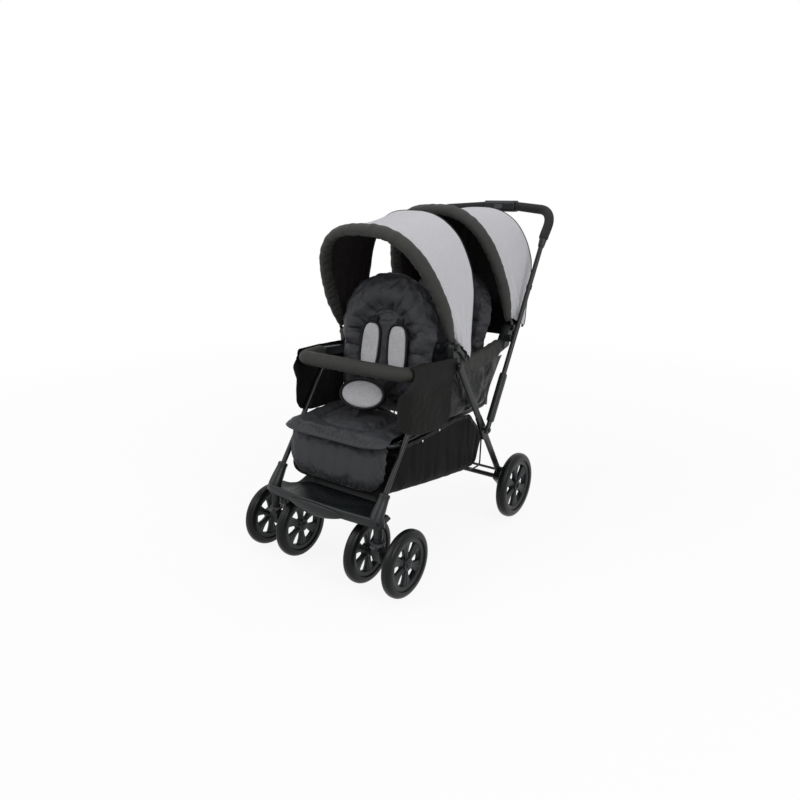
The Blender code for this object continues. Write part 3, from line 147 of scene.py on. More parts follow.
def add_piece(name, shapes, material, sharp=40.0):
    """One object from closed shapes, each turned to face outwards. Edges where the faces
    meet at more than `sharp` degrees are drawn sharp."""
    points, faces, places = joined(*[facing_out(shape) for shape in shapes])
    mesh = bpy.data.meshes.new(name)
    corners = faces >= 0
    sizes = corners.sum(1)
    mesh.vertices.add(len(points))
    mesh.vertices.foreach_set("co", (points + FOOTPRINT_SHIFT).astype(np.float32).ravel())
    mesh.loops.add(int(sizes.sum()))
    mesh.loops.foreach_set("vertex_index", faces[corners].astype(np.int32))
    mesh.polygons.add(len(faces))
    starts = np.concatenate([[0], np.cumsum(sizes)[:-1]])
    mesh.polygons.foreach_set("loop_start", starts.astype(np.int32))
    layer = mesh.uv_layers.new(name="cloth")
    layer.data.foreach_set("uv", places[corners].astype(np.float32).ravel())
    mesh.update(calc_edges=True)
    mesh.validate()
    mesh.shade_smooth()
    mesh.set_sharp_from_angle(angle=math.radians(sharp))
    mesh.materials.append(material)
    obj = bpy.data.objects.new(name, mesh)
    bpy.context.scene.collection.objects.link(obj)
    return obj


def placed(name, shapes, look, body, replaced=None, sharp=40.0):
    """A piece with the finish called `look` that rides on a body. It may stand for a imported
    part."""
    made = add_piece(name, shapes, FINISHES[look], sharp)
    if replaced is not None:
        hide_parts(replaced)
    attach(made, body)
    return made


# Shapes: each returns (points, faces, places)


def signed_power(value, power):
    """|value|^power with the sign of value."""
    return np.sign(value) * np.abs(value) ** power


def ring(across, along, count=24, power=2.0):
    """A closed superellipse: |x/across|^power + |y/along|^power = 1."""
    angles = 2 * math.pi * np.arange(count) / count
    return np.stack([across * signed_power(np.cos(angles), 2 / power),
                     along * signed_power(np.sin(angles), 2 / power)], -1)


def path_length(path):
    """The sum of a line's steps."""
    return float(np.linalg.norm(np.diff(path, axis=0), axis=1).sum())


def carried(path, section, across, closed=False):
    """A closed section carried along a path: each section point goes to
    place + x * side + y * up, where side is `across` made square to the path. The ends of
    an open path are closed to a point in their middle."""
    path = np.asarray(path, float)
    section = np.asarray(section, float)
    if section.ndim == 2:
        section = np.repeat(section[None], len(path), 0)
    if closed:
        tangent = np.roll(path, -1, 0) - np.roll(path, 1, 0)
    else:
        tangent = np.gradient(path, axis=0)
    tangent /= np.linalg.norm(tangent, axis=1)[:, None]
    side = np.broadcast_to(np.asarray(across, float), path.shape)
    side = side - tangent * np.einsum("ij,ij->i", side, tangent)[:, None]
    side /= np.linalg.norm(side, axis=1)[:, None]
    up = np.cross(tangent, side)
    grid = path[:, None] + section[..., :1] * side[:, None] + section[..., 1:] * up[:, None]
    around = path_length(np.concatenate([section[0], section[0][:1]]))
    shape = skin(grid, closed, True, (around, path_length(path)))
    return shape if closed else with_ends(shape, section.shape[1], grid[[0, -1]].mean(1))


def turned(profile, centre, axis="x", count=64):
    """A profile of (radius, distance along the axis) turned all the way round the axis. One
    that starts and ends at radius nought is closed by two poles, any other one is a closed
    line and makes a ring."""
    profile = np.asarray(profile, float)
    angles = 2 * math.pi * np.arange(count) / count
    a = profile[:, :1] * np.cos(angles)
    b = profile[:, :1] * np.sin(angles)
    along = profile[:, 1:] + 0 * a
    order = {"x": (along, a, b), "z": (a, b, along)}[axis]
    grid = np.stack(order, -1) + np.asarray(centre, float)
    span = (2 * math.pi * profile[:, 0].max(), 0.1)
    if profile[0, 0] > 0 or profile[-1, 0] > 0:
        return skin(grid, True, True, span)
    return with_ends(skin(grid[1:-1], False, True, span), count, grid[[0, -1], 0])


def grid_normals(grid):
    """The cross product of the slopes along both sides of a grid, made unit length."""
    normals = np.cross(np.gradient(grid, axis=1), np.gradient(grid, axis=0))
    length = np.linalg.norm(normals, axis=2)[..., None]
    return normals / np.maximum(length, 1e-12)


def thick(grid, thickness):
    """A sheet with two skins, half the thickness to each side of the grid."""
    offset = grid_normals(grid) * (thickness / 2)
    return two_skins(grid + offset, grid - offset)


def two_skins(front, back):
    """Two grids of one size with an edge face between each pair of their rim points."""
    rows, columns = front.shape[:2]
    span = (path_length(front[rows // 2]), path_length(front[:, columns // 2]))
    near = skin(front, span=span)
    far = skin(back, span=span)
    count = rows * columns
    rim = np.concatenate([np.arange(columns), np.arange(1, rows) * columns + columns - 1,
                          (rows - 1) * columns + np.arange(columns - 2, -1, -1),
                          np.arange(rows - 2, 0, -1) * columns])
    ahead = np.roll(rim, -1)
    edge = np.stack([rim, rim + count, ahead + count, ahead], -1)
    # an edge face takes its texture place from the rim, so the weave carries on over it
    down, along = np.meshgrid(np.linspace(0, span[1], rows), np.linspace(0, span[0], columns),
                              indexing="ij")
    flat = np.stack([along.ravel(), down.ravel()], -1)
    places = np.stack([flat[rim], flat[rim] + 0.001, flat[ahead] + 0.001, flat[ahead]], 1)
    return (np.concatenate([near[0], far[0]]),
            np.concatenate([near[1], far[1][:, ::-1] + count, edge]),
            np.concatenate([near[2], far[2][:, ::-1], places]))


def rounded_path(corners, radius, steps=10):
    """The line through the corners, each inner corner turned along a tangent arc."""
    corners = [np.asarray(c, float) for c in corners]
    path = [corners[0]]
    for before, corner, after in zip(corners, corners[1:], corners[2:]):
        back = (before - corner) / np.linalg.norm(before - corner)
        ahead = (after - corner) / np.linalg.norm(after - corner)
        turn = math.pi - math.acos(float(np.clip(back @ ahead, -1, 1)))
        if turn < 1e-3:
            continue
        middle = (back + ahead) / np.linalg.norm(back + ahead)
        centre = corner + middle * radius / math.cos(turn / 2)
        first = (corner + back * radius * math.tan(turn / 2) - centre) / radius
        last = (corner + ahead * radius * math.tan(turn / 2) - centre) / radius
        other = last - first * (last @ first)
        other /= np.linalg.norm(other)
        for angle in np.linspace(0.0, turn, steps + 1):
            path.append(centre + radius * (math.cos(angle) * first + math.sin(angle) * other))
    path.append(corners[-1])
    return np.array(path)


def resampled(path, count):
    """The same line with evenly spaced points."""
    path = np.asarray(path, float)
    along = np.concatenate([[0], np.cumsum(np.linalg.norm(np.diff(path, axis=0), axis=1))])
    where = np.linspace(0, along[-1], count)
    return np.stack([np.interp(where, along, path[:, k]) for k in range(3)], -1)


def hull_outline(circles, count=64):
    """The outline round some circles (y, z, radius): for each direction, the circle that
    reaches furthest that way gives the point."""
    circles = np.asarray(circles, float)
    angle = 2 * math.pi * np.arange(count) / count
    way = np.stack([np.cos(angle), np.sin(angle)], -1)
    furthest = np.argmax(way @ circles[:, :2].T + circles[:, 2], axis=1)
    return circles[furthest, :2] + circles[furthest, 2:3] * way


def plate(outline, x_in, x_out, edge=0.0015):
    """An outline in (y, z) as a flat plate between two x places, its edges rounded over."""
    outline = np.asarray(outline, float)
    centre = outline.mean(0)
    away = outline - centre
    shrink = 1 - edge / np.linalg.norm(away, axis=1)[:, None]
    rings = [(x_in, shrink), (x_in + edge, 1.0), (x_out - edge, 1.0), (x_out, shrink)]
    grid = np.stack([np.column_stack([np.full(len(outline), x), centre + away * s])
                     for x, s in rings])
    ends = [(x_in, *centre), (x_out, *centre)]
    return with_ends(skin(grid, False, True, (0.1, 0.01)), len(outline), ends)


def unit(way):
    """A direction made one long."""
    return np.asarray(way, float) / np.linalg.norm(way)


def pillow(centre, across, along, half_w, half_l, rise, power, rings, count, uneven=0.0, seed=1):
    """A stuffed pad: a superellipse outline whose two faces rise by rise * sqrt(1 - r^4),
    r running from its middle to its sewn edge."""
    centre, across, along = np.asarray(centre, float), unit(across), unit(along)
    normal = np.cross(across, along)
    r = np.concatenate([np.linspace(0, 1, rings), np.linspace(1, 0, rings)[1:]])[1:-1]
    side = np.concatenate([np.ones(rings - 1), -np.ones(rings - 2)])
    outline = ring(half_w, half_l, count, power)
    flat = r[:, None, None] * outline[None]
    height = side * rise * np.sqrt(np.clip(1 - r ** 4, 0, 1))
    height = height[:, None] * (1 + uneven * ripples(flat[..., 0], flat[..., 1], 0.035, seed))
    grid = centre + flat[..., :1] * across + flat[..., 1:] * along + height[..., None] * normal
    poles = centre + np.array([[rise], [-rise]]) * normal
    points, faces, _ = with_ends(skin(grid, False, True), count, poles)
    rel = points - centre
    flat = np.stack([rel @ across, rel @ along], -1)
    return points, faces, flat[np.maximum(faces, 0)]


def edge_line(centre, across, along, half_w, half_l, power, count=96):
    """The sewn edge of such a pad, as a closed line."""
    outline = ring(half_w, half_l, count, power)
    return (np.asarray(centre, float) + outline[:, :1] * unit(across)
            + outline[:, 1:] * unit(along))


def strap(path, half_w, half_t, across):
    """Flat webbing along a path."""
    line = resampled(path, max(12, int(path_length(np.asarray(path, float)) / 0.006)))
    return carried(line, ring(half_w, half_t, 20, 6.0), across)


def step_between(value, low, high):
    """0 below low, 1 above high, with a smooth rise between."""
    share = np.clip((np.asarray(value, float) - low) / (high - low), 0, 1)
    return share * share * (3 - 2 * share)


def ripples(u, v, length, seed, terms=7, stretch=1.0):
    """A smooth uneven field between about -1 and 1: a sum of waves of about one length,
    whose directions and phases are drawn from a seeded generator."""
    draw = np.random.default_rng(seed)
    total = 0.0
    for _ in range(terms):
        angle = draw.uniform(0, math.pi)
        phase = draw.uniform(0, 2 * math.pi)
        wave = 2 * math.pi / (length * draw.uniform(0.7, 1.5))
        place = u * math.cos(angle) + v * math.sin(angle) / stretch
        total = total + np.sin(wave * place + phase)
    return total / math.sqrt(terms) / 1.4


def mirror(shape):
    """The same shape on the other side of the middle plane."""
    points, faces, places = shape
    return points * np.array([-1.0, 1.0, 1.0]), faces, places


def on_side(side, *shapes):
    """A list of shapes made for the left, mirrored where side is -1."""
    return [shape if side > 0 else mirror(shape) for shape in shapes]


def capped_pin(start, radius, out, head, flat, rise, taper):
    """The profile of a pin from `start` to `out`, under a head that is straight for `flat`
    and tapers to its full rise."""
    return [(0.0, start), (radius, start), (radius, out), (head, out), (head, out + flat),
            (head - taper, out + rise), (0.0, out + rise)]


# Finishes


def shader_node(tree, kind, **inputs):
    """A node with values for some of its sockets, named with _ for a space."""
    made = tree.nodes.new(kind)
    for key, value in inputs.items():
        made.inputs[key.replace("_", " ")].default_value = value
    return made


def bare_finish(name, colour, roughness, specular, metallic=0.0):
    """A Principled surface whose even values stand on its own sockets: the finish, its tree
    and its shader."""
    made = bpy.data.materials.new(name)
    made.use_nodes = True
    shader = made.node_tree.nodes["Principled BSDF"]
    shader.inputs["Base Color"].default_value = (*colour, 1.0)
    shader.inputs["Roughness"].default_value = roughness
    shader.inputs["Metallic"].default_value = metallic
    shader.inputs["Specular IOR Level"].default_value = specular
    return made, made.node_tree, shader


def bumped(tree, shader, height, strength, distance, before=None):
    """Adds one layer of relief under the shader, over an earlier one if there is one."""
    bump = shader_node(tree, "ShaderNodeBump", Strength=strength, Distance=distance)
    tree.links.new(height, bump.inputs["Height"])
    if before is not None:
        tree.links.new(before.outputs["Normal"], bump.inputs["Normal"])
    tree.links.new(bump.outputs["Normal"], shader.inputs["Normal"])
    return bump


def math_node(tree, operation, first, second=None):
    """The output of an operation on one or two values, each a number or a socket."""
    made = tree.nodes.new("ShaderNodeMath")
    made.operation = operation
    for slot, value in enumerate((first, second)):
        if value is None:
            continue
        if isinstance(value, (int, float)):
            made.inputs[slot].default_value = value
        else:
            tree.links.new(value, made.inputs[slot])
    return made.outputs[0]


def noise_node(tree, place, scale, detail=2.0, roughness=0.5):
    """Noise in space, as the socket of its even factor."""
    made = shader_node(tree, "ShaderNodeTexNoise", Scale=scale, Detail=detail,
                       Roughness=roughness)
    tree.links.new(place, made.inputs["Vector"])
    return made.outputs["Fac"]


def tinted(tree, shader, factor, colour, spread):
    """Varies the base colour a little either way with a factor."""
    ramp = tree.nodes.new("ShaderNodeValToRGB")
    low, high = ramp.color_ramp.elements
    low.position, high.position = 0.3, 0.7
    low.color = (*[c * (1 - spread) for c in colour], 1.0)
    high.color = (*[min(c * (1 + spread), 1.0) for c in colour], 1.0)
    tree.links.new(factor, ramp.inputs["Fac"])
    tree.links.new(ramp.outputs["Color"], shader.inputs["Base Color"])


def roughened(tree, shader, factor, low, high):
    """Lets a factor move the roughness between two values."""
    made = tree.nodes.new("ShaderNodeMapRange")
    made.inputs["To Min"].default_value = low
    made.inputs["To Max"].default_value = high
    tree.links.new(factor, made.inputs["Value"])
    tree.links.new(made.outputs["Result"], shader.inputs["Roughness"])


def thread_waves(tree, place, pitch):
    """Three sine waves of one pitch, along the three axes of a place."""
    split = tree.nodes.new("ShaderNodeSeparateXYZ")
    tree.links.new(place, split.inputs[0])
    turns = 2 * math.pi / pitch
    return [math_node(tree, "SINE", math_node(tree, "MULTIPLY", split.outputs[k], turns))
            for k in range(3)]


def cloth_finish(name, colour, roughness, pitch, weave, creases, crease_size, melange=0.12,
                 specular=0.16, own_places=True):
    """Woven cloth: threads over soft creases, and uneven dye. The threads are the product of
    two waves along the cloth; a cloth without texture places of its own takes three waves in
    space, the third times each of the others."""
    made, tree, shader = bare_finish(name, colour, roughness, specular)
    coordinates = tree.nodes.new("ShaderNodeTexCoord")
    space = coordinates.outputs["Object"]
    place = coordinates.outputs["UV"] if own_places else space
    first, second, third = thread_waves(tree, place, pitch)
    if own_places:
        threads = math_node(tree, "MULTIPLY", first, second)
    else:
        threads = math_node(tree, "ADD", math_node(tree, "MULTIPLY", first, third),
                            math_node(tree, "MULTIPLY", second, third))
    fine = noise_node(tree, space, 900.0, 2.0)
    tinted(tree, shader, noise_node(tree, space, 160.0, 6.0, 0.75), colour, melange)
    roughened(tree, shader, fine, roughness - 0.06, roughness + 0.06)
    soft = noise_node(tree, space, crease_size, 4.0, 0.45)
    under = bumped(tree, shader, soft, creases, 0.012)
    bumped(tree, shader, threads, weave, 0.00025, under)
    return made


def moulded_finish(name, colour, roughness, grain, scale=900.0, metallic=0.0, specular=0.42):
    """A hard surface with a fine even grain and slightly uneven gloss."""
    made, tree, shader = bare_finish(name, colour, roughness, specular, metallic)
    place = tree.nodes.new("ShaderNodeTexCoord").outputs["Object"]
    tinted(tree, shader, noise_node(tree, place, 14.0, 3.0), colour, 0.10)
    roughened(tree, shader, noise_node(tree, place, 40.0, 4.0), roughness - 0.05, roughness + 0.07)
    bumped(tree, shader, noise_node(tree, place, scale, 2.0), grain, 0.0003)
    return made


def strap_finish(name, colour, pitch=0.0018):
    """Webbing: ribs across the strap and a diagonal of the weave."""
    made, tree, shader = bare_finish(name, colour, 0.7, 0.2)
    place = tree.nodes.new("ShaderNodeTexCoord").outputs["UV"]
    across, along, _ = thread_waves(tree, place, pitch)
    ribs = math_node(tree, "ADD", along, math_node(tree, "MULTIPLY", across, 0.5))
    bumped(tree, shader, ribs, 0.5, 0.0004)
    tinted(tree, shader, noise_node(tree, place, 700.0, 2.0), colour, 0.2)
    return made


FINISHES = {}


class StrollerColours(bpy.types.PropertyGroup):
    """Colours of the stroller's finishes"""

    canopy: bpy.props.FloatVectorProperty(
        name="Canopy cloth", description="Light grey cloth of the canopies and harness pads",
        subtype="COLOR", size=3, min=0.0, max=1.0, default=(0.50, 0.50, 0.525))
    seat: bpy.props.FloatVectorProperty(
        name="Seat cloth", description="Charcoal cloth of the seats and backrests",
        subtype="COLOR", size=3, min=0.0, max=1.0, default=(0.030, 0.031, 0.035))
    trim: bpy.props.FloatVectorProperty(
        name="Trim cloth", description="Olive charcoal of the rims, bumper and arm pads",
        subtype="COLOR", size=3, min=0.0, max=1.0, default=(0.028, 0.028, 0.0265))
    basket: bpy.props.FloatVectorProperty(
        name="Basket cloth", description="Black cloth of the basket and linings",
        subtype="COLOR", size=3, min=0.0, max=1.0, default=(0.0062, 0.0062, 0.0060))
    frame: bpy.props.FloatVectorProperty(
        name="Frame", description="Black coat of the tubes",
        subtype="COLOR", size=3, min=0.0, max=1.0, default=(0.006, 0.007, 0.0075))
    plastic: bpy.props.FloatVectorProperty(
        name="Plastic", description="Black of the mouldings and wheels",
        subtype="COLOR", size=3, min=0.0, max=1.0, default=(0.009, 0.011, 0.012))


class StrollerSizes(bpy.types.PropertyGroup):
    """Sizes of the stroller's sewn pieces"""

    rim_half_width: bpy.props.FloatProperty(
        name="Canopy rim half width",
        description="Half the width of the padded band round a canopy's opening",
        unit="LENGTH", default=0.0225, min=0.005, max=0.04)
    rim_half_depth: bpy.props.FloatProperty(
        name="Canopy rim half depth", description="Half the thickness of that band",
        unit="LENGTH", default=0.0152, min=0.004, max=0.03)
    sleeve_radius: bpy.props.FloatProperty(
        name="Bumper sleeve radius", description="Radius of the padded sleeve on the bumper bar",
        unit="LENGTH", default=0.0218, min=0.01, max=0.03)
    grip_radius: bpy.props.FloatProperty(
        name="Grip radius", description="Radius of the foam handle grips",
        unit="LENGTH", default=0.0158, min=0.01, max=0.03)
    cloth_thickness: bpy.props.FloatProperty(
        name="Canopy cloth thickness",
        description="Thickness of the canopy covers and of their linings",
        unit="LENGTH", default=0.0011, min=0.0003, max=0.004)


def sizes():
    """The sizes that the panel shows."""
    return bpy.context.scene.stroller_sizes


class STROLLER_OT_finishes(bpy.types.Operator):
    """Makes the finishes and puts them on the parts that keep their own shape"""

    bl_idname = "stroller.finishes"
    bl_label = "Finishes"

    def execute(self, context):
        tint = context.scene.stroller_colours
        canopy, seat, trim, basket, coat, plastic = (
            tuple(colour) for colour in (tint.canopy, tint.seat, tint.trim, tint.basket,
                                         tint.frame, tint.plastic))
        pad = tuple(c * 0.92 for c in canopy)
        # slot: name, colour, roughness, grain, its scale, metallic, specular
        moulded = {
            "black_frame": ("powder_coat", coat, 0.34, 0.05, 900.0, 0.0, 0.30),
            "moulded_plastic": ("satin_moulding", plastic, 0.36, 0.20, 900.0, 0.0, 0.28),
            "tyre": ("tyre_rubber", (0.0045, 0.005, 0.005), 0.30, 0.12, 700.0, 0.0, 0.18),
            "foam_grip": ("closed_foam", (0.013, 0.013, 0.014), 0.75, 0.6, 420.0, 0.0, 0.22),
            "button_plastic": ("button_moulding", (0.05, 0.05, 0.055), 0.42, 0.2),
            "rivet": ("bright_rivet", (0.55, 0.55, 0.56), 0.28, 0.1, 500.0, 1.0),
        }
        # slot: name, colour, roughness, thread pitch, weave, creases, their scale, dye, specular
        cloths = {
            "seat_cloth": ("seat_nylon", seat, 0.50, 0.0013, 0.3, 0.30, 26.0, 0.10, 0.24, False),
            "rim_cloth": ("trim_weave", trim, 0.60, 0.0012, 0.45, 0.25, 30.0, 0.12, 0.22),
            "grey_cloth": ("canopy_melange", canopy, 0.74, 0.0012, 0.3, 0.22, 14.0, 0.07, 0.2),
            "basket_cloth": ("basket_weave", basket, 0.64, 0.0012, 0.35, 0.45, 16.0, 0.12, 0.07),
            "lining": ("black_lining", (0.011, 0.008, 0.008), 0.60, 0.0011, 0.25, 0.5, 16.0),
            "shiny_nylon": ("shiny_nylon", (0.006, 0.0065, 0.007), 0.36, 0.0010, 0.15, 0.8, 26.0,
                            0.1, 0.22),
            "panel_cloth": ("side_panel_weave", (0.0085, 0.0085, 0.0080), 0.62, 0.0012, 0.3, 0.30,
                            20.0, 0.12, 0.10),
            "piping": ("black_piping", (0.006, 0.006, 0.007), 0.5, 0.001, 0.3, 0.2, 60.0),
            "pad_grey": ("pad_melange", pad, 0.75, 0.0012, 0.3, 0.30, 45.0, 0.14, 0.2),
        }
        made = {slot: moulded_finish(*values) for slot, values in moulded.items()}
        made.update({slot: cloth_finish(*values) for slot, values in cloths.items()})
        made["webbing"] = strap_finish("black_webbing", (0.009, 0.009, 0.010))
        FINISHES.update(made)
        for obj in frame["nodes"].values():
            for slot in obj.material_slots:
                wanted = slot.material.name.split(".")[0]
                if wanted not in made:
                    raise RuntimeError(f"{obj.name} has a slot {wanted} without a finish")
                slot.material = made[wanted]
        return {"FINISHED"}


# Stage

CAMERA_PLACE = (1.2778, -1.8534, 1.1014)
CAMERA_TURN = (73.202, 0.0, 36.226)
CAMERA_LENS = 31.05
FLOOR_HALF_SIDE = 60.0
FADE_START, FADE_END = 0.9, 3.5
# name, place, what it looks at, size, power
LAMPS = (("key_lamp", (-1.6, -2.6, 2.9), (0, -0.1, 0.5), 2.2, 44.0),
         ("side_lamp", (3.0, -1.2, 2.2), (0, 0, 0.5), 2.0, 50.0),
         ("top_lamp", (0.2, 0.6, 3.4), (0, 0, 0.4), 2.6, 26.0))


class STROLLER_OT_stage(bpy.types.Operator):
    """Makes the floor, the lamps, the sky and the camera"""

    bl_idname = "stroller.stage"
    bl_label = "Studio"

    def execute(self, context):
        scene = context.scene
        scene.view_settings.view_transform = "Standard"
        mesh = bpy.data.meshes.new("floor")
        corners = ((-1, -1), (1, -1), (1, 1), (-1, 1))
        mesh.from_pydata([(x * FLOOR_HALF_SIDE, y * FLOOR_HALF_SIDE, 0) for x, y in corners], [],
                         [(0, 1, 2, 3)])
        floor = bpy.data.objects.new("floor", mesh)
        scene.collection.objects.link(floor)
        mesh.materials.append(self.floor_finish())
        for name, place, target, size, power in LAMPS:
            light = bpy.data.lights.new(name, "AREA")
            light.shape = "SQUARE"
            light.size = size
            light.energy = power
            lamp = bpy.data.objects.new(name, light)
            scene.collection.objects.link(lamp)
            lamp.location = place
            way = unit(np.array(target, float) - np.array(place, float))
            lamp.rotation_euler = (math.acos(-way[2]), 0.0,
                                   math.atan2(way[1], way[0]) - math.pi / 2)
        self.make_sky(scene)
        camera_data = bpy.data.cameras.new("camera")
        camera_data.lens = CAMERA_LENS
        camera_data.sensor_width = 36.0
        camera = bpy.data.objects.new("camera", camera_data)
        camera.location = CAMERA_PLACE
        camera.rotation_euler = [math.radians(a) for a in CAMERA_TURN]
        scene.collection.objects.link(camera)
        scene.camera = camera
        return {"FINISHED"}

    def seen_directly(self, tree):
        """1 where the surface is seen by the camera, in a reflection or through glass."""
        rays = tree.nodes.new("ShaderNodeLightPath")
        seen = math_node(tree, "MAXIMUM", rays.outputs["Is Camera Ray"],
                         rays.outputs["Is Glossy Ray"])
        return math_node(tree, "MAXIMUM", seen, rays.outputs["Is Transmission Ray"])

    def floor_finish(self):
        """A pale floor that fades to the white of the sky away from the stroller."""
        made = bpy.data.materials.new("pale_floor")
        made.use_nodes = True
        tree = made.node_tree
        shader = tree.nodes["Principled BSDF"]
        shader.inputs["Base Color"].default_value = (0.86, 0.86, 0.86, 1.0)
        shader.inputs["Roughness"].default_value = 0.9
        shader.inputs["Specular IOR Level"].default_value = 0.1
        white = shader_node(tree, "ShaderNodeEmission", Strength=1.0)
        blend = tree.nodes.new("ShaderNodeMixShader")
        place = tree.nodes.new("ShaderNodeTexCoord").outputs["Object"]
        far = tree.nodes.new("ShaderNodeVectorMath")
        far.operation = "LENGTH"
        tree.links.new(place, far.inputs[0])
        fade = tree.nodes.new("ShaderNodeMapRange")
        for key, value in (("From Min", FADE_START), ("From Max", FADE_END), ("To Min", 0.90),
                           ("To Max", 1.0)):
            fade.inputs[key].default_value = value
        tree.links.new(far.outputs["Value"], fade.inputs["Value"])
        share = math_node(tree, "MULTIPLY", self.seen_directly(tree), fade.outputs["Result"])
        tree.links.new(share, blend.inputs[0])
        tree.links.new(shader.outputs[0], blend.inputs[1])
        tree.links.new(white.outputs[0], blend.inputs[2])
        tree.links.new(blend.outputs[0], tree.nodes["Material Output"].inputs["Surface"])
        return made

    def make_sky(self, scene):
        """White where it is seen directly, dimmer as a lamp."""
        world = bpy.data.worlds.new("studio")
        scene.world = world
        world.use_nodes = True
        tree = world.node_tree
        sky = tree.nodes["Background"]
        sky.inputs["Color"].default_value = (1, 1, 1, 1)
        made = tree.nodes.new("ShaderNodeMapRange")
        made.inputs["To Min"].default_value = 0.38
        made.inputs["To Max"].default_value = 1.0
        tree.links.new(self.seen_directly(tree), made.inputs["Value"])
        tree.links.new(made.outputs["Result"], sky.inputs["Strength"])


# Wheels

# name, x, y, radius, width
WHEELS = (
    ("front_left_outer", 0.2697, 0.0, 0.100, 0.034),
    ("front_left_inner", 0.1343, 0.0, 0.100, 0.034),
    ("front_right_inner", -0.1343, 0.0, 0.100, 0.034),
    ("front_right_outer", -0.2697, 0.0, 0.100, 0.034),
    ("rear_left", 0.278, *REAR_AXLE, 0.036), ("rear_right", -0.278, *REAR_AXLE, 0.036),
)
SPOKE_COUNT = 6
HUB_RIB_COUNT = 12
TYRE_DEPTH_SHARE = 0.235


class STROLLER_OT_wheels(bpy.types.Operator):
    """Turns the tyres and builds the spoked wheel centres"""

    bl_idname = "stroller.wheels"
    bl_label = "Wheels"

    def execute(self, context):
        for label, x, y, radius, width in WHEELS:
            body = f"{label}_wheel"
            centre = (x, y, radius)
            placed(f"{label}_tyre_skin", [self.tyre(radius, width, centre)], "tyre", body,
                   f"{label}_tyre", sharp=50)
            placed(f"{label}_wheel_centre", self.centre(radius, width, centre), "moulded_plastic",
                   body, f"{label}_rim", sharp=35)
        return {"FINISHED"}

    def tyre(self, radius, width, centre):
        """A round tread of superellipse section with three fine grooves and a rim bead."""
        seat = radius * (1 - TYRE_DEPTH_SHARE) + 0.0003
        angles = np.linspace(0, math.pi, 41)
        half = width / 2
        reach = np.sin(angles) ** 0.72
        across = signed_power(np.cos(angles), 0.82)
        groove = sum(np.exp(-((across - at) / 0.035) ** 2) for at in (-0.46, 0.0, 0.46))
        outer = seat + 0.002 + (radius - seat - 0.002) * reach - 0.0007 * groove * (reach > 0.5)
        profile = np.stack([outer, across * half * 0.985], -1)
        bead = np.array([(seat, -half * 0.80), (seat, half * 0.80)])
        return turned(np.concatenate([profile, bead]), centre, "x", 96)

    def ray(self, turn):
        """The direction at this angle round an axle."""
        return np.array([0.0, math.cos(turn), math.sin(turn)])

    def centre(self, radius, width, centre):
        """A rim ring, a hub boss and fan-shaped spokes between them, each spoke a slab whose
        width grows from the hub to the rim, with a raised rib down its middle, and short ribs
        round the hub."""
        seat = radius * (1 - TYRE_DEPTH_SHARE)
        half = width / 2
        inner = seat - 0.0135
        hub = 0.0185
        # radius and share of the half width, from the outer face to the middle
        rim_line = [(inner, 0.44), (inner + 0.0015, 0.60), (seat - 0.002, 0.72), (seat, 0.70)]
        hub_line = [(0.0, 0.90), (0.0085, 0.90), (0.0095, 0.84), (0.0125, 0.84), (0.0132, 0.78),
                    (hub, 0.72)]

        def both_ways(line, middle):
            return ([(r, -half * s) for r, s in line] + middle
                    + [(r, half * s) for r, s in reversed(line)])

        shapes = [turned(both_ways(rim_line, []), centre, "x", 96),
                  turned(both_ways(hub_line, [(hub + 0.001, 0.0)]), centre, "x", 48)]
        count = 13
        radii = np.linspace(hub - 0.002, inner + 0.003, count)
        share = np.linspace(0, 1, count)
        wide = 0.0066 + 0.0150 * (radius / 0.1) * share ** 1.6
        deep = half * (0.50 - 0.14 * np.sin(share * math.pi))
        for spoke in range(SPOKE_COUNT):
            way = self.ray(2 * math.pi * (spoke + 0.5) / SPOKE_COUNT)
            path = np.array(centre) + radii[:, None] * way
            section = np.stack([ring(d, w, 20, 5.0) for d, w in zip(deep, wide)])
            shapes.append(carried(path, section, (1.0, 0.0, 0.0)))
            rib = np.stack([ring(d + 0.0014, w * 0.30, 12, 4.0) for d, w in zip(deep, wide)])
            shapes.append(carried(path, rib, (1.0, 0.0, 0.0)))
        for turn in 2 * math.pi * np.arange(HUB_RIB_COUNT) / HUB_RIB_COUNT:
            path = np.array(centre) + np.array([0.0130, 0.0192])[:, None] * self.ray(turn)
            shapes.append(carried(path, ring(half * 0.70, 0.0011, 10, 4.0), (1.0, 0.0, 0.0)))
        return shapes


# Tubes

PUSH_WAY = unit([-0.0022, 0.345, 0.588])
LEG_WAY = np.array([0.0, 1.0, 1.378]) / math.hypot(1.0, 1.378)
PUSH_TUBE_X = 0.2487
REAR_LEG_X = 0.2316


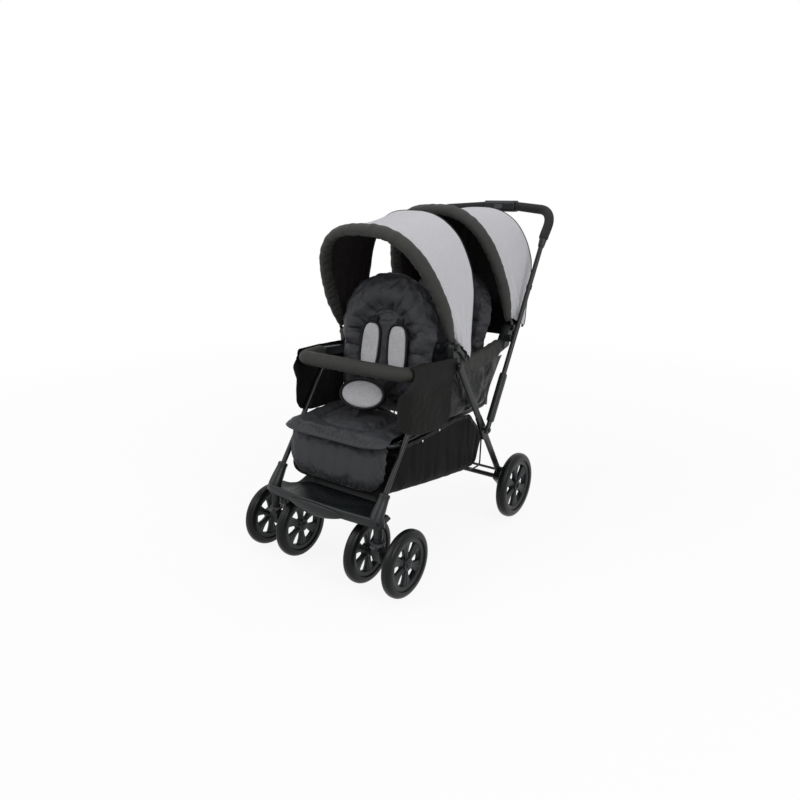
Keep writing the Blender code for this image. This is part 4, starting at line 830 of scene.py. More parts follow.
class STROLLER_OT_tubes(bpy.types.Operator):
    """Draws the front legs, the arm hubs, the rear legs and the fold sheaths"""

    bl_idname = "stroller.tubes"
    bl_label = "Legs, hubs and sheaths"

    def execute(self, context):
        reach = (FRONT_LEG_TOP_Z - FRONT_LEG_FOOT[2]) / LEG_WAY[2]
        along = np.linspace(0, reach, 8)[:, None]
        tube = ring(0.008, 0.008, 32)
        legs = [carried(FRONT_LEG_FOOT * (side, 1, 1) + LEG_WAY * along, tube, (1, 0, 0))
                for side, _ in SIDES]
        cross = FRONT_LEG_FOOT + LEG_WAY * 0.150
        legs.append(carried(np.linspace((-0.2, *cross[1:]), (0.2, *cross[1:]), 8),
                            ring(0.0065, 0.0065, 24), (0, 1, 0)))
        placed("front_leg_tubes", legs, "black_frame", "chassis", "front_frame")
        for side, word in SIDES:
            self.hub(side, word)
            self.rear_leg(side, word)
            self.sheath(side, word)
        return {"FINISHED"}

    def hub(self, side, word):
        """The moulding that links the canopy pivot, the leg pivot and the arm: two round
        ends on a slim plate, each with a stepped cap over its pin."""
        link = hull_outline([(*CANOPY_HUB, 0.0165), (*LEG_HUB, 0.0175)])
        bar = hull_outline([(LEG_HUB[0], LEG_HUB[1] + 0.006, 0.0110), (0.2127, 0.6100, 0.0150)])
        parts = [plate(link, *ARM_X, 0.003),
                 plate(bar, ARM_X[0] + 0.0010, ARM_X[1] - 0.0010, 0.003)]
        for centre, radius, head, out in ((CANOPY_HUB, 0.0045, 0.0095, 0.2293),
                                          (LEG_HUB, 0.0060, 0.0105, 0.2374)):
            cap = capped_pin(ARM_CAP_X, radius, out, head, 0.0010, 0.0020, 0.0020)
            parts.append(turned(cap, (0, *centre), "x", 36))
        boss = [(0.0, 0.2200), (0.0150, 0.2200), (0.0150, 0.2232), (0.0142, 0.2238),
                (0.0070, 0.2238), (0.0, 0.2238)]
        parts.append(turned(boss, (0, *LEG_HUB), "x", 40))
        placed(f"arm_hub_moulding_{word}", on_side(side, *parts), "moulded_plastic", "chassis",
               f"arm_hub_{word}")

    def rear_leg(self, side, word):
        """A flat-oval leg with an eye at its top, a fold bracket half way down and a foot
        that holds the axle."""
        path = np.linspace((REAR_LEG_X, *LEG_HUB), (REAR_LEG_X, 0.6325, 0.133), 30)
        foot = [(*REAR_AXLE, 0.0165), (0.6205, 0.164, 0.0145), (0.606, 0.146, 0.014)]
        y, z = FOLD_PIVOT
        bracket = [(y, z, 0.0140), (y - 0.030, z + 0.047, 0.011), (y + 0.012, z - 0.030, 0.011)]
        pin = capped_pin(0.2335, 0.0045, 0.2570, 0.0080, 0.0010, 0.0020, 0.0018)
        stub = capped_pin(0.2530, 0.0050, 0.2945, 0.0085, 0.0017, 0.0032, 0.0025)
        parts = [carried(path, ring(0.0047, 0.0125, 32, 3.4), (1, 0, 0)),
                 plate(hull_outline([(*LEG_HUB, 0.0130)], 40), 0.2268, 0.2364, 0.001),
                 plate(hull_outline(foot), 0.219, 0.256, 0.002),
                 plate(hull_outline(bracket), 0.2258, 0.2371, 0.001),
                 turned(pin, (0, *FOLD_PIVOT), "x", 32),
                 turned(stub, (0, *REAR_AXLE), "x", 32)]
        placed(f"rear_leg_bar_{word}", on_side(side, *parts), "black_frame", "rear_frame",
               f"rear_leg_{word}")

    def sheath(self, side, word):
        """The sliding sheath of the fold: a flattened sleeve round the push tube, with ribs
        where the hand takes it."""
        pivot = np.array([PUSH_TUBE_X, *FOLD_PIVOT])
        along = np.linspace(0.030, 0.196, 60)
        path = pivot + PUSH_WAY * along[:, None]
        end = np.minimum(along - along[0], along[-1] - along)
        held = np.abs(along - 0.165) < 0.022
        rib = 0.0006 * np.maximum(0, np.sin(along * 2 * math.pi / 0.009)) * held
        grow = 1 - 0.12 * np.exp(-(end / 0.003) ** 2)
        section = np.stack([ring(0.0110 * g + r, 0.0142 * g + r, 32, 2.8)
                            for g, r in zip(grow, rib)])
        placed(f"fold_sheath_{word}", on_side(side, carried(path, section, (1, 0, 0))),
               "moulded_plastic", f"fold_sleeve_{word}", f"fold_sleeve_{word}")


# Padded bars

GRIP_SIDE_X = 0.2465
HANDLE_MIDDLE = (0.985, 1.050)


def padded_bar(path, half_side, half_up, reference, seed, depth=0.0009):
    """A sewn sleeve over foam: an oval carried along the bar, with small uneven swells,
    sharper cross creases on the inside of each bend, and ends that draw in."""
    path = resampled(path, max(40, int(path_length(path) / 0.005)))
    count = 40
    tangent = np.gradient(path, axis=0)
    tangent /= np.linalg.norm(tangent, axis=1)[:, None]
    bend = np.linalg.norm(np.gradient(tangent, axis=0), axis=1)
    bend = bend / max(bend.max(), 1e-9)
    along = np.linspace(0, path_length(path), len(path))[:, None]
    around = np.linspace(0, 2 * math.pi, count, endpoint=False)[None]
    halves = [np.reshape(half, (-1, 1)) + 0 * along for half in (half_side, half_up)]
    base = ring(1.0, 1.0, count) * np.stack(halves, -1)
    swell = ripples(along, around * 0.02, 0.035, seed) * depth
    phase = along * 2 * math.pi / 0.011 + ripples(along, around * 0.01, 0.03, seed + 1) * 2
    crease = np.maximum(0, np.sin(phase))
    swell = swell - bend[:, None] * crease ** 2 * 0.0016
    end = np.minimum(along, along[::-1])
    draw = 1 - 0.16 * np.exp(-(end / 0.005) ** 2)
    radius = np.linalg.norm(base, axis=2)
    section = base * (draw + swell / radius)[..., None]
    return carried(path, section, reference)


class STROLLER_OT_padded_bars(bpy.types.Operator):
    """Sews the sleeves on the bumper bar, the rear arms and the handle"""

    bl_idname = "stroller.padded_bars"
    bl_label = "Bumper, arms and grips"

    def execute(self, context):
        self.bumper()
        self.rear_arms()
        self.grips()
        return {"FINISHED"}

    def bumper(self):
        """The sleeve on the bar's three sides, and the seam under it."""
        radius = sizes().sleeve_radius
        x, z = 0.199, 0.612
        corners = [(x, 0.1925, z), (x, 0.102, z), (-x, 0.102, z), (-x, 0.1925, z)]
        path = rounded_path(corners, 0.030, 16)
        placed("bumper_sleeve", [padded_bar(path, radius, radius, (0, 0, 1), 3)], "rim_cloth",
               "chassis", "bumper_bar")
        seam = resampled(path, 160) + np.array([0.0, 0.0, -radius * 0.70])
        seam[:, :2] += (seam[:, :2] - np.array([0.0, 0.160])) * -0.055
        placed("bumper_seam", [carried(seam, ring(0.0011, 0.0016, 8), (0, 0, 1))], "piping",
               "chassis")

    def rear_arms(self):
        """The arm pad, an upright oval that hangs deep over the seat and thins to its rear end,
        and the end moulding with the catch that stops the push tube."""
        for side, word in SIDES:
            y = np.linspace(0.3515, 0.6550, 62)
            low = np.interp(y, (0.35, 0.40, 0.485, 0.59, 0.64, 0.655),
                            (0.575, 0.5500, 0.5480, 0.562, 0.583, 0.594))
            top = np.interp(y, (0.35, 0.40, 0.48, 0.56, 0.62, 0.655),
                            (0.622, 0.613, 0.611, 0.619, 0.629, 0.624))
            path = resampled(np.stack([0 * y + side * 0.1990, y, (low + top) / 2], -1), 62)
            count = max(40, int(path_length(path) / 0.005))
            share = np.linspace(0, 1, count)
            half_up = np.interp(share, np.linspace(0, 1, 62), (top - low) / 2)
            shape = padded_bar(path, 0.0195, half_up, (1, 0, 0), 11 + side, 0.0016)
            placed(f"rear_arm_pad_{word}", [shape], "rim_cloth", "chassis", f"rear_arm_{word}")
            outline = hull_outline([(*REAR_CANOPY_HUB, 0.0120), (0.655, 0.610, 0.0120),
                                    (0.640, 0.606, 0.0110)])
            pin = capped_pin(ARM_CAP_X, 0.0045, 0.2293, 0.0095, 0.0013, 0.0025, 0.0025)
            catch = ring(0.0100, 0.0110, 32, 6.0) + (0.648, 0.632)
            parts = [plate(outline, *ARM_X, 0.003),
                     turned(pin, (0, *REAR_CANOPY_HUB), "x", 32),
                     plate(catch, 0.2124, 0.2404, 0.002)]
            placed(f"rear_arm_end_{word}", on_side(side, *parts), "moulded_plastic", "chassis")

    def grips(self):
        """Foam from the push tubes round the corners to the middle, drawn in at its ends, and
        the bare tube between the two grips."""
        top = np.array([GRIP_SIDE_X, 0.832, 0.944])
        corners = [top + PUSH_WAY * 0.0003, top + PUSH_WAY * 0.015, (GRIP_SIDE_X, 0.905, 1.037),
                   (0.0625, *HANDLE_MIDDLE)]
        path = rounded_path(corners, 0.090, 18)
        radius = sizes().grip_radius
        shapes = []
        for side, _ in SIDES:
            line = resampled(path, 110)
            along = np.linspace(0, path_length(path), 110)
            swell = 1 + 0.03 * np.sin(along / along[-1] * math.pi)
            swell -= 0.22 * np.exp(-(along / 0.004) ** 2)
            swell -= 0.12 * np.exp(-((along[-1] - along) / 0.003) ** 2)
            section = np.stack([ring(radius * s, radius * s, 32) for s in swell])
            shapes += on_side(side, carried(line, section, (0, 0, 1)))
        shapes.append(carried(np.linspace((-0.07, *HANDLE_MIDDLE), (0.07, *HANDLE_MIDDLE), 6),
                              ring(0.0093, 0.0093, 20), (0, 0, 1)))
        placed("handle_foam", shapes, "foam_grip", "push_handle", "handle_grip")


# Canopies

RIM_LEAN = (-26.0, -22.0)
RIM_HEIGHT = (0.382, 0.415)
ARCH_HALF_W = 0.2175
ARCH_POWER = 2.8


def half_arch(height, angle):
    """Places across and up on a superellipse: |x/half width|^power + |y/height|^power = 1."""
    return (ARCH_HALF_W * signed_power(np.cos(angle), 2 / ARCH_POWER),
            height * np.sin(angle) ** (2 / ARCH_POWER))


def arch(height, count, start):
    """Such an arch from `start` over the hub on one side to the other, narrowed to the hub's
    width at its feet."""
    low = math.asin((start / height) ** (ARCH_POWER / 2))
    across, up = half_arch(height, np.linspace(low, math.pi - low, count))
    return across * (1 - 0.03 * np.exp(-(up / 0.07) ** 2)), up


def leaned(across, up, lean, hub, offset=0.0):
    """Points `up` from the hub line in a plane leaning back by `lean`, `offset` behind it."""
    lean = np.radians(lean)
    return np.stack([across + 0 * up, hub[0] + up * np.sin(lean) + offset * np.cos(lean),
                     hub[1] + up * np.cos(lean) - offset * np.sin(lean)], -1)


class CanopyShape:
    """The curves of one canopy: its rim plane, and where its rear hem runs."""

    def __init__(self, label):
        place = {"front": 0, "rear": 1}[label]
        self.label = label
        self.hub = (CANOPY_HUB, REAR_CANOPY_HUB)[place]
        self.lean = RIM_LEAN[place]
        self.height = RIM_HEIGHT[place]
        self.hem_low = (0.612, 0.662)[place]
        self.hem_top = (1.046, 1.049)[place]
        self.hem_z = ((0.612, 0.69, 0.75, 0.81, 0.87, 0.97, 1.046),
                      (0.662, 0.723, 0.789, 0.873, 0.929, 1.00, 1.049))[place]
        self.hem_y = ((0.394, 0.419, 0.430, 0.441, 0.444, 0.430, 0.402),
                      (0.750, 0.785, 0.817, 0.841, 0.838, 0.828, 0.812))[place]

    def front_edge(self, count):
        """The cover's front edge, just behind the rim."""
        across, up = arch(self.height + 0.004, count, 0.036)
        return leaned(across, up, self.lean, self.hub, 0.010)

    def rear_edge(self, count):
        """The cover's rear edge: an arch that widens at its feet, its y read off the height."""
        rise = self.hem_top - self.hem_low
        across, up = half_arch(rise, np.linspace(0, math.pi, count))
        z = self.hem_low + up
        across *= 1 + 0.062 * np.exp(-((z - self.hem_low) / 0.05) ** 2)
        y = np.interp(z, self.hem_z, self.hem_y)
        return np.stack([across, y, z], -1)

    def cover(self, columns=181, rows=73, inward=0.0):
        """A sheet between the rim and the rear hem. Across the canopy it dips a little between
        them; towards its two feet it gathers into folds that run down to the hubs."""
        front = resampled(self.front_edge(columns * 2), columns)
        rear = resampled(self.rear_edge(columns * 2), columns)
        share = np.linspace(0, 1, rows)[:, None, None]
        grid = front[None] * (1 - share) + rear[None] * share
        share = share[..., 0]
        t = np.linspace(-1, 1, columns)[None]
        foot = np.clip((np.abs(t) - 0.30) / 0.70, 0, 1)
        crown = 1 - np.abs(t) ** 3
        normals = grid_normals(grid)
        normals = normals * np.sign(normals[rows // 2, columns // 2, 2])
        uneven = ripples(t * 0.4, share * 0.1, 0.25, 5 + len(self.label))
        gather = np.sin(share * 2 * math.pi * 4.5 + uneven * 1.7)
        gather = gather * np.sin(math.pi * np.clip(share * 1.02, 0, 1)) ** 0.6
        lift = -0.0060 * np.sin(math.pi * share) * crown + 0.0035 * gather * foot ** 1.8
        soft = ripples(t * 0.55, share * 0.22, 0.12, 21, stretch=1.6)
        lift = lift + 0.0018 * soft * np.sin(math.pi * share)
        lift = lift + 0.008 * foot ** 2 * np.sin(math.pi * share)
        return grid + normals * (lift - inward)[..., None]


class STROLLER_OT_canopies(bpy.types.Operator):
    """Cuts the canopy covers, their linings, padded rims and piping"""

    bl_idname = "stroller.canopies"
    bl_label = "Canopies"

    def execute(self, context):
        for label in ("front", "rear"):
            shape = CanopyShape(label)
            self.cover(shape)
            self.rim(shape)
            self.hem(shape)
        self.back_curtain()
        return {"FINISHED"}

    def stretch(self, obj, shape):
        """Moves the sheet's transform into its points."""
        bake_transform(obj)

    def cover(self, shape):
        """The cover and its lining a little inside it, each stretched between the bows."""
        label, thickness = shape.label, sizes().cloth_thickness
        for word, look, grid, replaced in (
                ("sheet", "grey_cloth", shape.cover(), f"{label}_canopy_cover"),
                ("lining", "lining", shape.cover(141, 41, thickness * 2.2), None)):
            piece = add_piece(f"{label}_canopy_{word}", [thick(grid, thickness)], FINISHES[look])
            if replaced is not None:
                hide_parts(replaced)
            self.stretch(piece, shape)

    def eye(self, side, hub, start, flat, radius):
        """The round end of a strap on the hub's pin, its outer edge chamfered."""
        profile = [(0.0048, start), (flat, start), (radius, start + 0.0005),
                   (radius, start + 0.0023), (flat, start + 0.0028), (0.0048, start + 0.0028)]
        return on_side(side, turned(profile, (0, *hub), "x", 32))

    def rim(self, shape):
        """A padded band: a flattened oval along the bow whose inner edge is drawn into
        gathers, and the two straps that hold it on the hubs."""
        size = sizes()
        across, up = arch(shape.height, 900, 0.030)
        path = resampled(leaned(across, up, shape.lean, shape.hub), 460)
        lean = math.radians(shape.lean)
        normal = (0.0, math.cos(lean), -math.sin(lean))
        count = 36
        along = np.linspace(0, path_length(path), len(path))[:, None]
        around = np.linspace(0, 2 * math.pi, count, endpoint=False)[None]
        section = ring(size.rim_half_width, size.rim_half_depth, count, 2.3)[None]
        end = np.minimum(along, along[::-1])
        draw = 0.55 + 0.45 * np.clip(end / 0.10, 0, 1) ** 0.7
        phase = along * 2 * math.pi / 0.026 + ripples(along, 0 * along, 0.09, 31) * 2.2
        notch = np.maximum(0, np.sin(phase)) ** 3
        inner = np.maximum(0, np.sin(around) * self.inward_sign(path, normal))
        edge = np.exp(-((inner - 0.75) / 0.30) ** 2) * (inner > 0)
        depth = notch * edge * 0.0056 + 0.0012 * ripples(along, around * 0.012, 0.030, 17)
        radius = np.linalg.norm(section, axis=2)
        section = section * (draw * (1 - depth / radius))[..., None]
        body = f"{shape.label}_canopy"
        placed(f"{body}_rim", [carried(path, section, normal)], "rim_cloth", body)
        straps = []
        for side, _ in SIDES:
            foot = leaned(np.array([0.2241, 0.2241, 0.2160]), np.array([0.0, 0.020, 0.052]),
                          shape.lean, shape.hub)
            line = resampled(foot * (side, 1, 1), 12)
            straps.append(carried(line, ring(0.0016, 0.0062, 16, 5.0), (1, 0, 0)))
            straps += self.eye(side, shape.hub, 0.2227, 0.0105, 0.0112)
        placed(f"{body}_straps", straps, "black_frame", body, f"{body}_front_bow")

    def inward_sign(self, path, normal):
        """+1 where the section's second axis points to the inside of the arch."""
        middle = len(path) // 2
        tangent = path[middle + 1] - path[middle - 1]
        up = np.cross(tangent / np.linalg.norm(tangent), normal)
        return -1.0 if up[2] > 0 else 1.0

    def hem(self, shape):
        """Piping round the rear edge, and inside it the wire that holds it up on the hubs."""
        line = resampled(shape.rear_edge(400), 260)
        piping = carried(line, ring(0.0024, 0.0024, 12), (0, 1, 0.2))
        placed(f"{shape.label}_canopy_hem", [piping], "piping", "chassis")
        wire = line * np.array([0.985, 1.0, 1.0]) + np.array([0.0, -0.004, -0.006])
        pieces = [carried(resampled(wire, 200), ring(0.0040, 0.0040, 16), (0, 1, 0.2))]
        for side, _ in SIDES:
            half_way = wire[0, 1:] * 0.5 + np.array(shape.hub) * 0.5
            foot = np.array([(0.2274, *shape.hub), (0.2274, *half_way), (0.2190, *wire[0, 1:])])
            foot = resampled(foot * (side, 1, 1), 14)
            pieces.append(carried(foot, ring(0.0014, 0.0060, 16, 5.0), (1, 0, 0)))
            pieces += self.eye(side, shape.hub, 0.2260, 0.0102, 0.0110)
        placed(f"{shape.label}_canopy_rear_wire", pieces, "black_frame", "chassis",
               f"{shape.label}_canopy_rear_bow")

    def back_curtain(self):
        """Black cloth that closes the back of the rear canopy: from its rear hem down behind
        the rear backrest, bowed a little rearwards."""
        shape = CanopyShape("rear")
        z = np.linspace(1.035, 0.625, 60)
        rise = shape.hem_top - shape.hem_low
        share = np.clip((z - shape.hem_low) / rise, 0, 0.999)
        half = ARCH_HALF_W * (1 - share ** ARCH_POWER) ** (1 / ARCH_POWER) - 0.004
        y = np.interp(z, shape.hem_z, shape.hem_y) - 0.006
        y = y - 0.020 * step_between(-z, -0.67, -0.62)
        u = np.linspace(-1, 1, 91)[None]
        bulge = 0.010 * (1 - u ** 2) * np.sin(math.pi * np.linspace(0, 1, 60))[:, None]
        folds = 0.0035 * ripples(u * 0.2, z[:, None] * 0.35, 0.055, 41) * (1 - np.abs(u) ** 6)
        grid = np.stack([half[:, None] * u, y[:, None] + bulge + folds, z[:, None] + 0 * u], -1)
        placed("rear_canopy_back_curtain", [thick(grid, 0.0012)], "lining", "chassis")


# Pads


class PadPlane:
    """A flat frame for a stuffed pad: middle, across, along and outward directions."""

    def __init__(self, middle, along, half_w, half_l):
        self.middle = np.asarray(middle, float)
        self.along = unit(along)
        self.across = np.array([1.0, 0.0, 0.0])
        self.normal = np.cross(self.across, self.along)
        self.half_w = half_w
        self.half_l = half_l

    def places(self, points):
        """(u, v, height) of points: across and along from -1 to 1, and height over the plane."""
        rel = points - self.middle - FOOTPRINT_SHIFT
        v = rel @ self.along / self.half_l
        return rel @ self.across / self.half_w(v), v, rel @ self.normal


def lean_frame(hinge, height, lean, rise=0.034, stand_off=0.0172):
    """Middle and direction of a backrest of this height that leans back on its hinge."""
    tilt = math.radians(lean)
    along = np.array([0.0, math.sin(tilt), math.cos(tilt)])
    normal = np.array([0.0, -math.cos(tilt), math.sin(tilt)])
    return np.array([0.0, *hinge]) + along * (rise + height / 2) + normal * stand_off, along


def back_outline(half_w):
    """The half width of a backrest at each height: narrower at the waist, round at the top."""
    def width(v):
        shoulder = np.sqrt(np.clip(1 - (np.clip(v - 0.15, 0, 1) / 0.85) ** 2.4, 0.0, 1))
        waist = 1 - 0.10 * np.clip(-v, 0, 1)
        return half_w * np.maximum(waist * shoulder, 0.16)
    return width


def mesh_points(mesh):
    """The mesh's points as rows."""
    points = np.empty(len(mesh.vertices) * 3, np.float32)
    mesh.vertices.foreach_get("co", points)
    return points.reshape(-1, 3).astype(float)


def set_points(mesh, points):
    """Moves the mesh's points to these rows."""
    mesh.vertices.foreach_set("co", points.astype(np.float32).ravel())
    mesh.update()


def vertex_normals(mesh):
    """The mesh's normals at its points, as rows."""
    normals = np.empty(len(mesh.vertices) * 3, np.float32)
    mesh.vertex_normals.foreach_get("vector", normals)
    return normals.reshape(-1, 3).astype(float)


def remeshed_copy(node, name, voxel, inset):
    """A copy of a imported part's solid, drawn in by inset and remade of even quads."""
    source = frame["nodes"][node]
    mesh = source.data.copy()
    obj = bpy.data.objects.new(name, mesh)
    bpy.context.scene.collection.objects.link(obj)
    bpy.context.view_layer.objects.active = obj
    weld = obj.modifiers.new("weld", "WELD")
    weld.merge_threshold = 0.0001
    remesh = obj.modifiers.new("even", "REMESH")
    remesh.mode = "VOXEL"
    remesh.voxel_size = voxel
    made = applied(obj)
    set_points(made, mesh_points(made) - vertex_normals(made) * inset)
    return obj


def applied(obj):
    """The object's evaluated mesh takes the place of its own, and its modifiers go."""
    graph = bpy.context.evaluated_depsgraph_get()
    made = bpy.data.meshes.new_from_object(obj.evaluated_get(graph))
    obj.modifiers.clear()
    obj.data = made
    return made


def inflated(obj, pinned, pressure, slack, cap, frames=20):
    """Blows the piece up as cloth for a few frames with its seams held, no point moving
    further than cap. slack is how much larger the cloth is than the shape it starts in."""
    before = mesh_points(obj.data)
    group = obj.vertex_groups.new(name="seams")
    levels = np.round(np.clip(pinned, 0, 1) * 10).astype(int)
    for level in range(1, 11):
        members = np.flatnonzero(levels == level).tolist()
        if members:
            group.add(members, level / 10, "REPLACE")
    step = obj.modifiers.new("stuffing", "CLOTH")
    settings = step.settings
    settings.quality = 5
    settings.mass = 0.2
    settings.tension_stiffness = 14
    settings.compression_stiffness = 10
    settings.shear_stiffness = 5
    settings.bending_stiffness = 0.15
    settings.tension_damping = 8
    settings.use_pressure = True
    settings.uniform_pressure_force = pressure
    settings.shrink_min = -slack
    settings.vertex_group_mass = "seams"
    settings.pin_stiffness = 1.0
    settings.effector_weights.gravity = 0.0
    step.collision_settings.use_collision = False
    step.point_cache.frame_start = 1
    step.point_cache.frame_end = frames
    scene = bpy.context.scene
    for number in range(1, frames + 1):
        scene.frame_set(number)
    made = applied(obj)
    scene.frame_set(1)
    moved = mesh_points(made) - before
    distance = np.linalg.norm(moved, axis=1)[:, None]
    set_points(made, before + moved * np.minimum(1, cap / np.maximum(distance, 1e-9)))
    obj.vertex_groups.clear()


def subdivided(obj):
    """The object's mesh with each face cut into four and smoothed."""
    step = obj.modifiers.new("smooth", "SUBSURF")
    step.levels = 1
    step.render_levels = 1
    return applied(obj)


def channel(distance, width, depth):
    """A sewn line: depth on the line, back to nought about one width away."""
    return depth * np.exp(-(distance / width) ** 2)


VOXEL = 0.005
SEAM_WIDTH, SEAM_DEPTH = 0.0035, 0.0035


def stuffed(node, name, body, plane, seams, cap, pressure=3.5, slack=0.04, relief=None,
            widen=None):
    """A stuffed pad in seat cloth from a packed pad's solid. seams(u, v) is how far a place on
    the front is from the nearest sewn line, in metres; relief(u, v) is pushed in last."""
    obj = remeshed_copy(node, name, VOXEL, 0.002)
    if widen is not None:
        set_points(obj.data, widen(mesh_points(obj.data) - FOOTPRINT_SHIFT) + FOOTPRINT_SHIFT)
    u, v, height = plane.places(mesh_points(obj.data))
    front = height > 0.0
    held = np.where(front, np.exp(-(seams(u, v) / (VOXEL * 1.1)) ** 2), 1.0)
    held = np.where(np.abs(height) < 0.004, np.maximum(held, 0.6), held)
    inflated(obj, held, pressure, slack, cap)
    made = subdivided(obj)
    points = mesh_points(made)
    normals = vertex_normals(made)
    u, v, height = plane.places(points)
    face = np.clip((normals @ plane.normal) * 1.6, 0, 1)
    push = channel(seams(u, v), SEAM_WIDTH, SEAM_DEPTH) * face
    if relief is not None:
        push = push + relief(u, v) * np.clip((normals @ plane.normal) * 2 + 0.6, 0, 1)
    set_points(made, points - normals * push[:, None])
    made.materials.clear()
    made.materials.append(FINISHES["seat_cloth"])
    made.shade_smooth()
    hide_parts(node)
    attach(obj, body)


class STROLLER_OT_pads(bpy.types.Operator):
    """Stuffs the seat, backrest and calf pads"""

    bl_idname = "stroller.pads"
    bl_label = "Seat pads"

    def execute(self, context):
        self.front_seat()
        self.backrest("front", FRONT_BACK_HINGE, 0.176, 0.398, FRONT_BACK_LEAN)
        self.backrest("rear", REAR_BACK_HINGE, 0.164, 0.380, REAR_BACK_LEAN)
        self.calf()
        self.rear_seat()
        return {"FINISHED"}

    def front_seat(self):
        """Sewn along both sides and round a bow at the front, its front edge puckered."""
        half_w, half_l = 0.183, 0.124
        plane = PadPlane((0.0, 0.110, 0.4342), (0.0, 1.0, 0.045), lambda v: half_w + 0 * v,
                         half_l)

        def seams(u, v):
            x, y = u * half_w, v * half_l
            side = np.maximum(np.abs(np.abs(x) - 0.112), np.clip(-0.052 - y, 0, 1) * 3)
            bow = np.abs(np.hypot(x / 1.9, np.minimum(y + 0.010, 0)) - 0.059)
            bow = np.where(y < -0.008, bow, 1.0)
            return np.minimum(np.where(y > -0.012, side, 1.0), bow)

        def relief(u, v):
            x, y = u * half_w, v * half_l
            edge = np.exp(-((y + 0.119) / 0.012) ** 2)
            phase = x * 2 * math.pi / 0.017 + 2 * ripples(x, y, 0.06, 8)
            pucker = np.maximum(0, np.sin(phase)) ** 2
            return edge * pucker * 0.0028 + 0.0012 * ripples(x, y, 0.045, 9)

        def widen(points):
            """The pad's front flares a little and reaches further forwards over the calf pad."""
            x, y, z = points.T
            ahead = step_between(-y, -0.075, -0.010)
            back = 0.040 * np.clip(np.abs(x) / half_w, 0, 1) ** 7.0
            return np.stack([x * (1 + 0.085 * ahead), y - ahead * (0.024 - back),
                             z - 0.007 * ahead], -1)

        stuffed("front_seat_pad", "front_seat_cushion", "chassis", plane, seams, 0.009,
                relief=relief, widen=widen)

    def backrest(self, label, hinge, half_w, height, lean):
        """Sewn round a hollow in its middle, with a raised roll and folds outside the seam."""
        middle, along = lean_frame(hinge, height, lean)
        plane = PadPlane(middle, along, back_outline(half_w), height / 2)

        def spot(u, v):
            return u * plane.half_w(v), v * height / 2

        def seams(u, v):
            x, y = spot(u, v)
            top = np.abs(np.hypot(x, y + 0.005) - 0.086)
            side = np.abs(np.abs(x) - 0.086)
            return np.where(y > -0.005, top, side)

        def relief(u, v):
            x, y = spot(u, v)
            away = np.where(y > -0.005, np.hypot(x, y + 0.005), np.abs(x))
            angle = np.arctan2(y + 0.005, x)
            roll = np.exp(-((away - 0.134) / 0.030) ** 2)
            folds = np.maximum(0, np.sin(angle * 15 + 1.3 * ripples(x, y, 0.10, 12)))
            near = np.exp(-((away - 0.100) / 0.020) ** 2) * (y > -0.02)
            phase = y * 2 * math.pi / 0.050 + ripples(x, y, 0.08, 4) * 1.5
            side_folds = np.maximum(0, np.sin(phase)) ** 3
            side_near = np.exp(-((away - 0.112) / 0.024) ** 2) * (y < 0.02)
            hollow = 0.0040 * (away < 0.080)
            return (0.0075 * folds ** 2 * near + 0.004 * side_folds * side_near
                    + 0.0016 * ripples(x, y, 0.045, 2) + hollow - 0.0100 * roll)

        def widen(points):
            """Fuller above the arms."""
            x, y, z = points.T
            return np.stack([x * (1 + 0.055 * step_between(z, 0.640, 0.690)), y, z], -1)

        stuffed(f"{label}_backrest_pad", f"{label}_backrest_cushion", f"{label}_back", plane,
                seams, 0.012, 4.0, 0.045, relief, widen)

    def calf(self):
        """The panel under the seat's front edge, without seams, creased near its edges."""
        tilt = math.radians(-9.0)
        half_l = 0.076
        down = np.array([0.0, math.sin(tilt), -math.cos(tilt)])
        plane = PadPlane(np.array([0.0, 0.0413, 0.4245]) + down * 0.082, -down,
                         lambda v: 0.186 * (1 - 0.24 * np.clip((-v - 0.25) / 0.75, 0, 1) ** 3),
                         half_l)

        def seams(u, v):
            return 1.0 + 0 * u

        def relief(u, v):
            x, y = u * 0.16, v * half_l
            edge = np.maximum(np.exp(-((y + 0.066) / 0.016) ** 2),
                              np.exp(-((np.abs(x) - 0.150) / 0.014) ** 2))
            phase = (x + y * 0.4) * 2 * math.pi / 0.021 + 2 * ripples(x, y, 0.07, 6)
            folds = np.maximum(0, np.sin(phase)) ** 2
            return edge * folds * 0.0030 + 0.0014 * ripples(x, y * 0.4, 0.05, 16)

        def widen(points):
            """Wider than the board behind it, its lower corners rounded off."""
            x, y, z = points.T
            low = np.clip((0.345 - z) / 0.080, 0, 1)
            return np.stack([x * (1.130 - 0.12 * low ** 2.6), y - 0.004,
                             z + 0.026 * low * np.abs(x / 0.166) ** 5], -1)

        stuffed("front_calf_pad", "front_calf_cushion", "chassis", plane, seams, 0.008,
                relief=relief, widen=widen)

    def rear_seat(self):
        """Sewn along both sides."""
        half_w = 0.172
        plane = PadPlane((0.0, 0.478, 0.4357), (0, 1, 0), lambda v: half_w + 0 * v, 0.096)

        def seams(u, v):
            return np.abs(np.abs(u * half_w) - 0.110)

        stuffed("rear_seat_pad", "rear_seat_cushion", "chassis", plane, seams, 0.008)


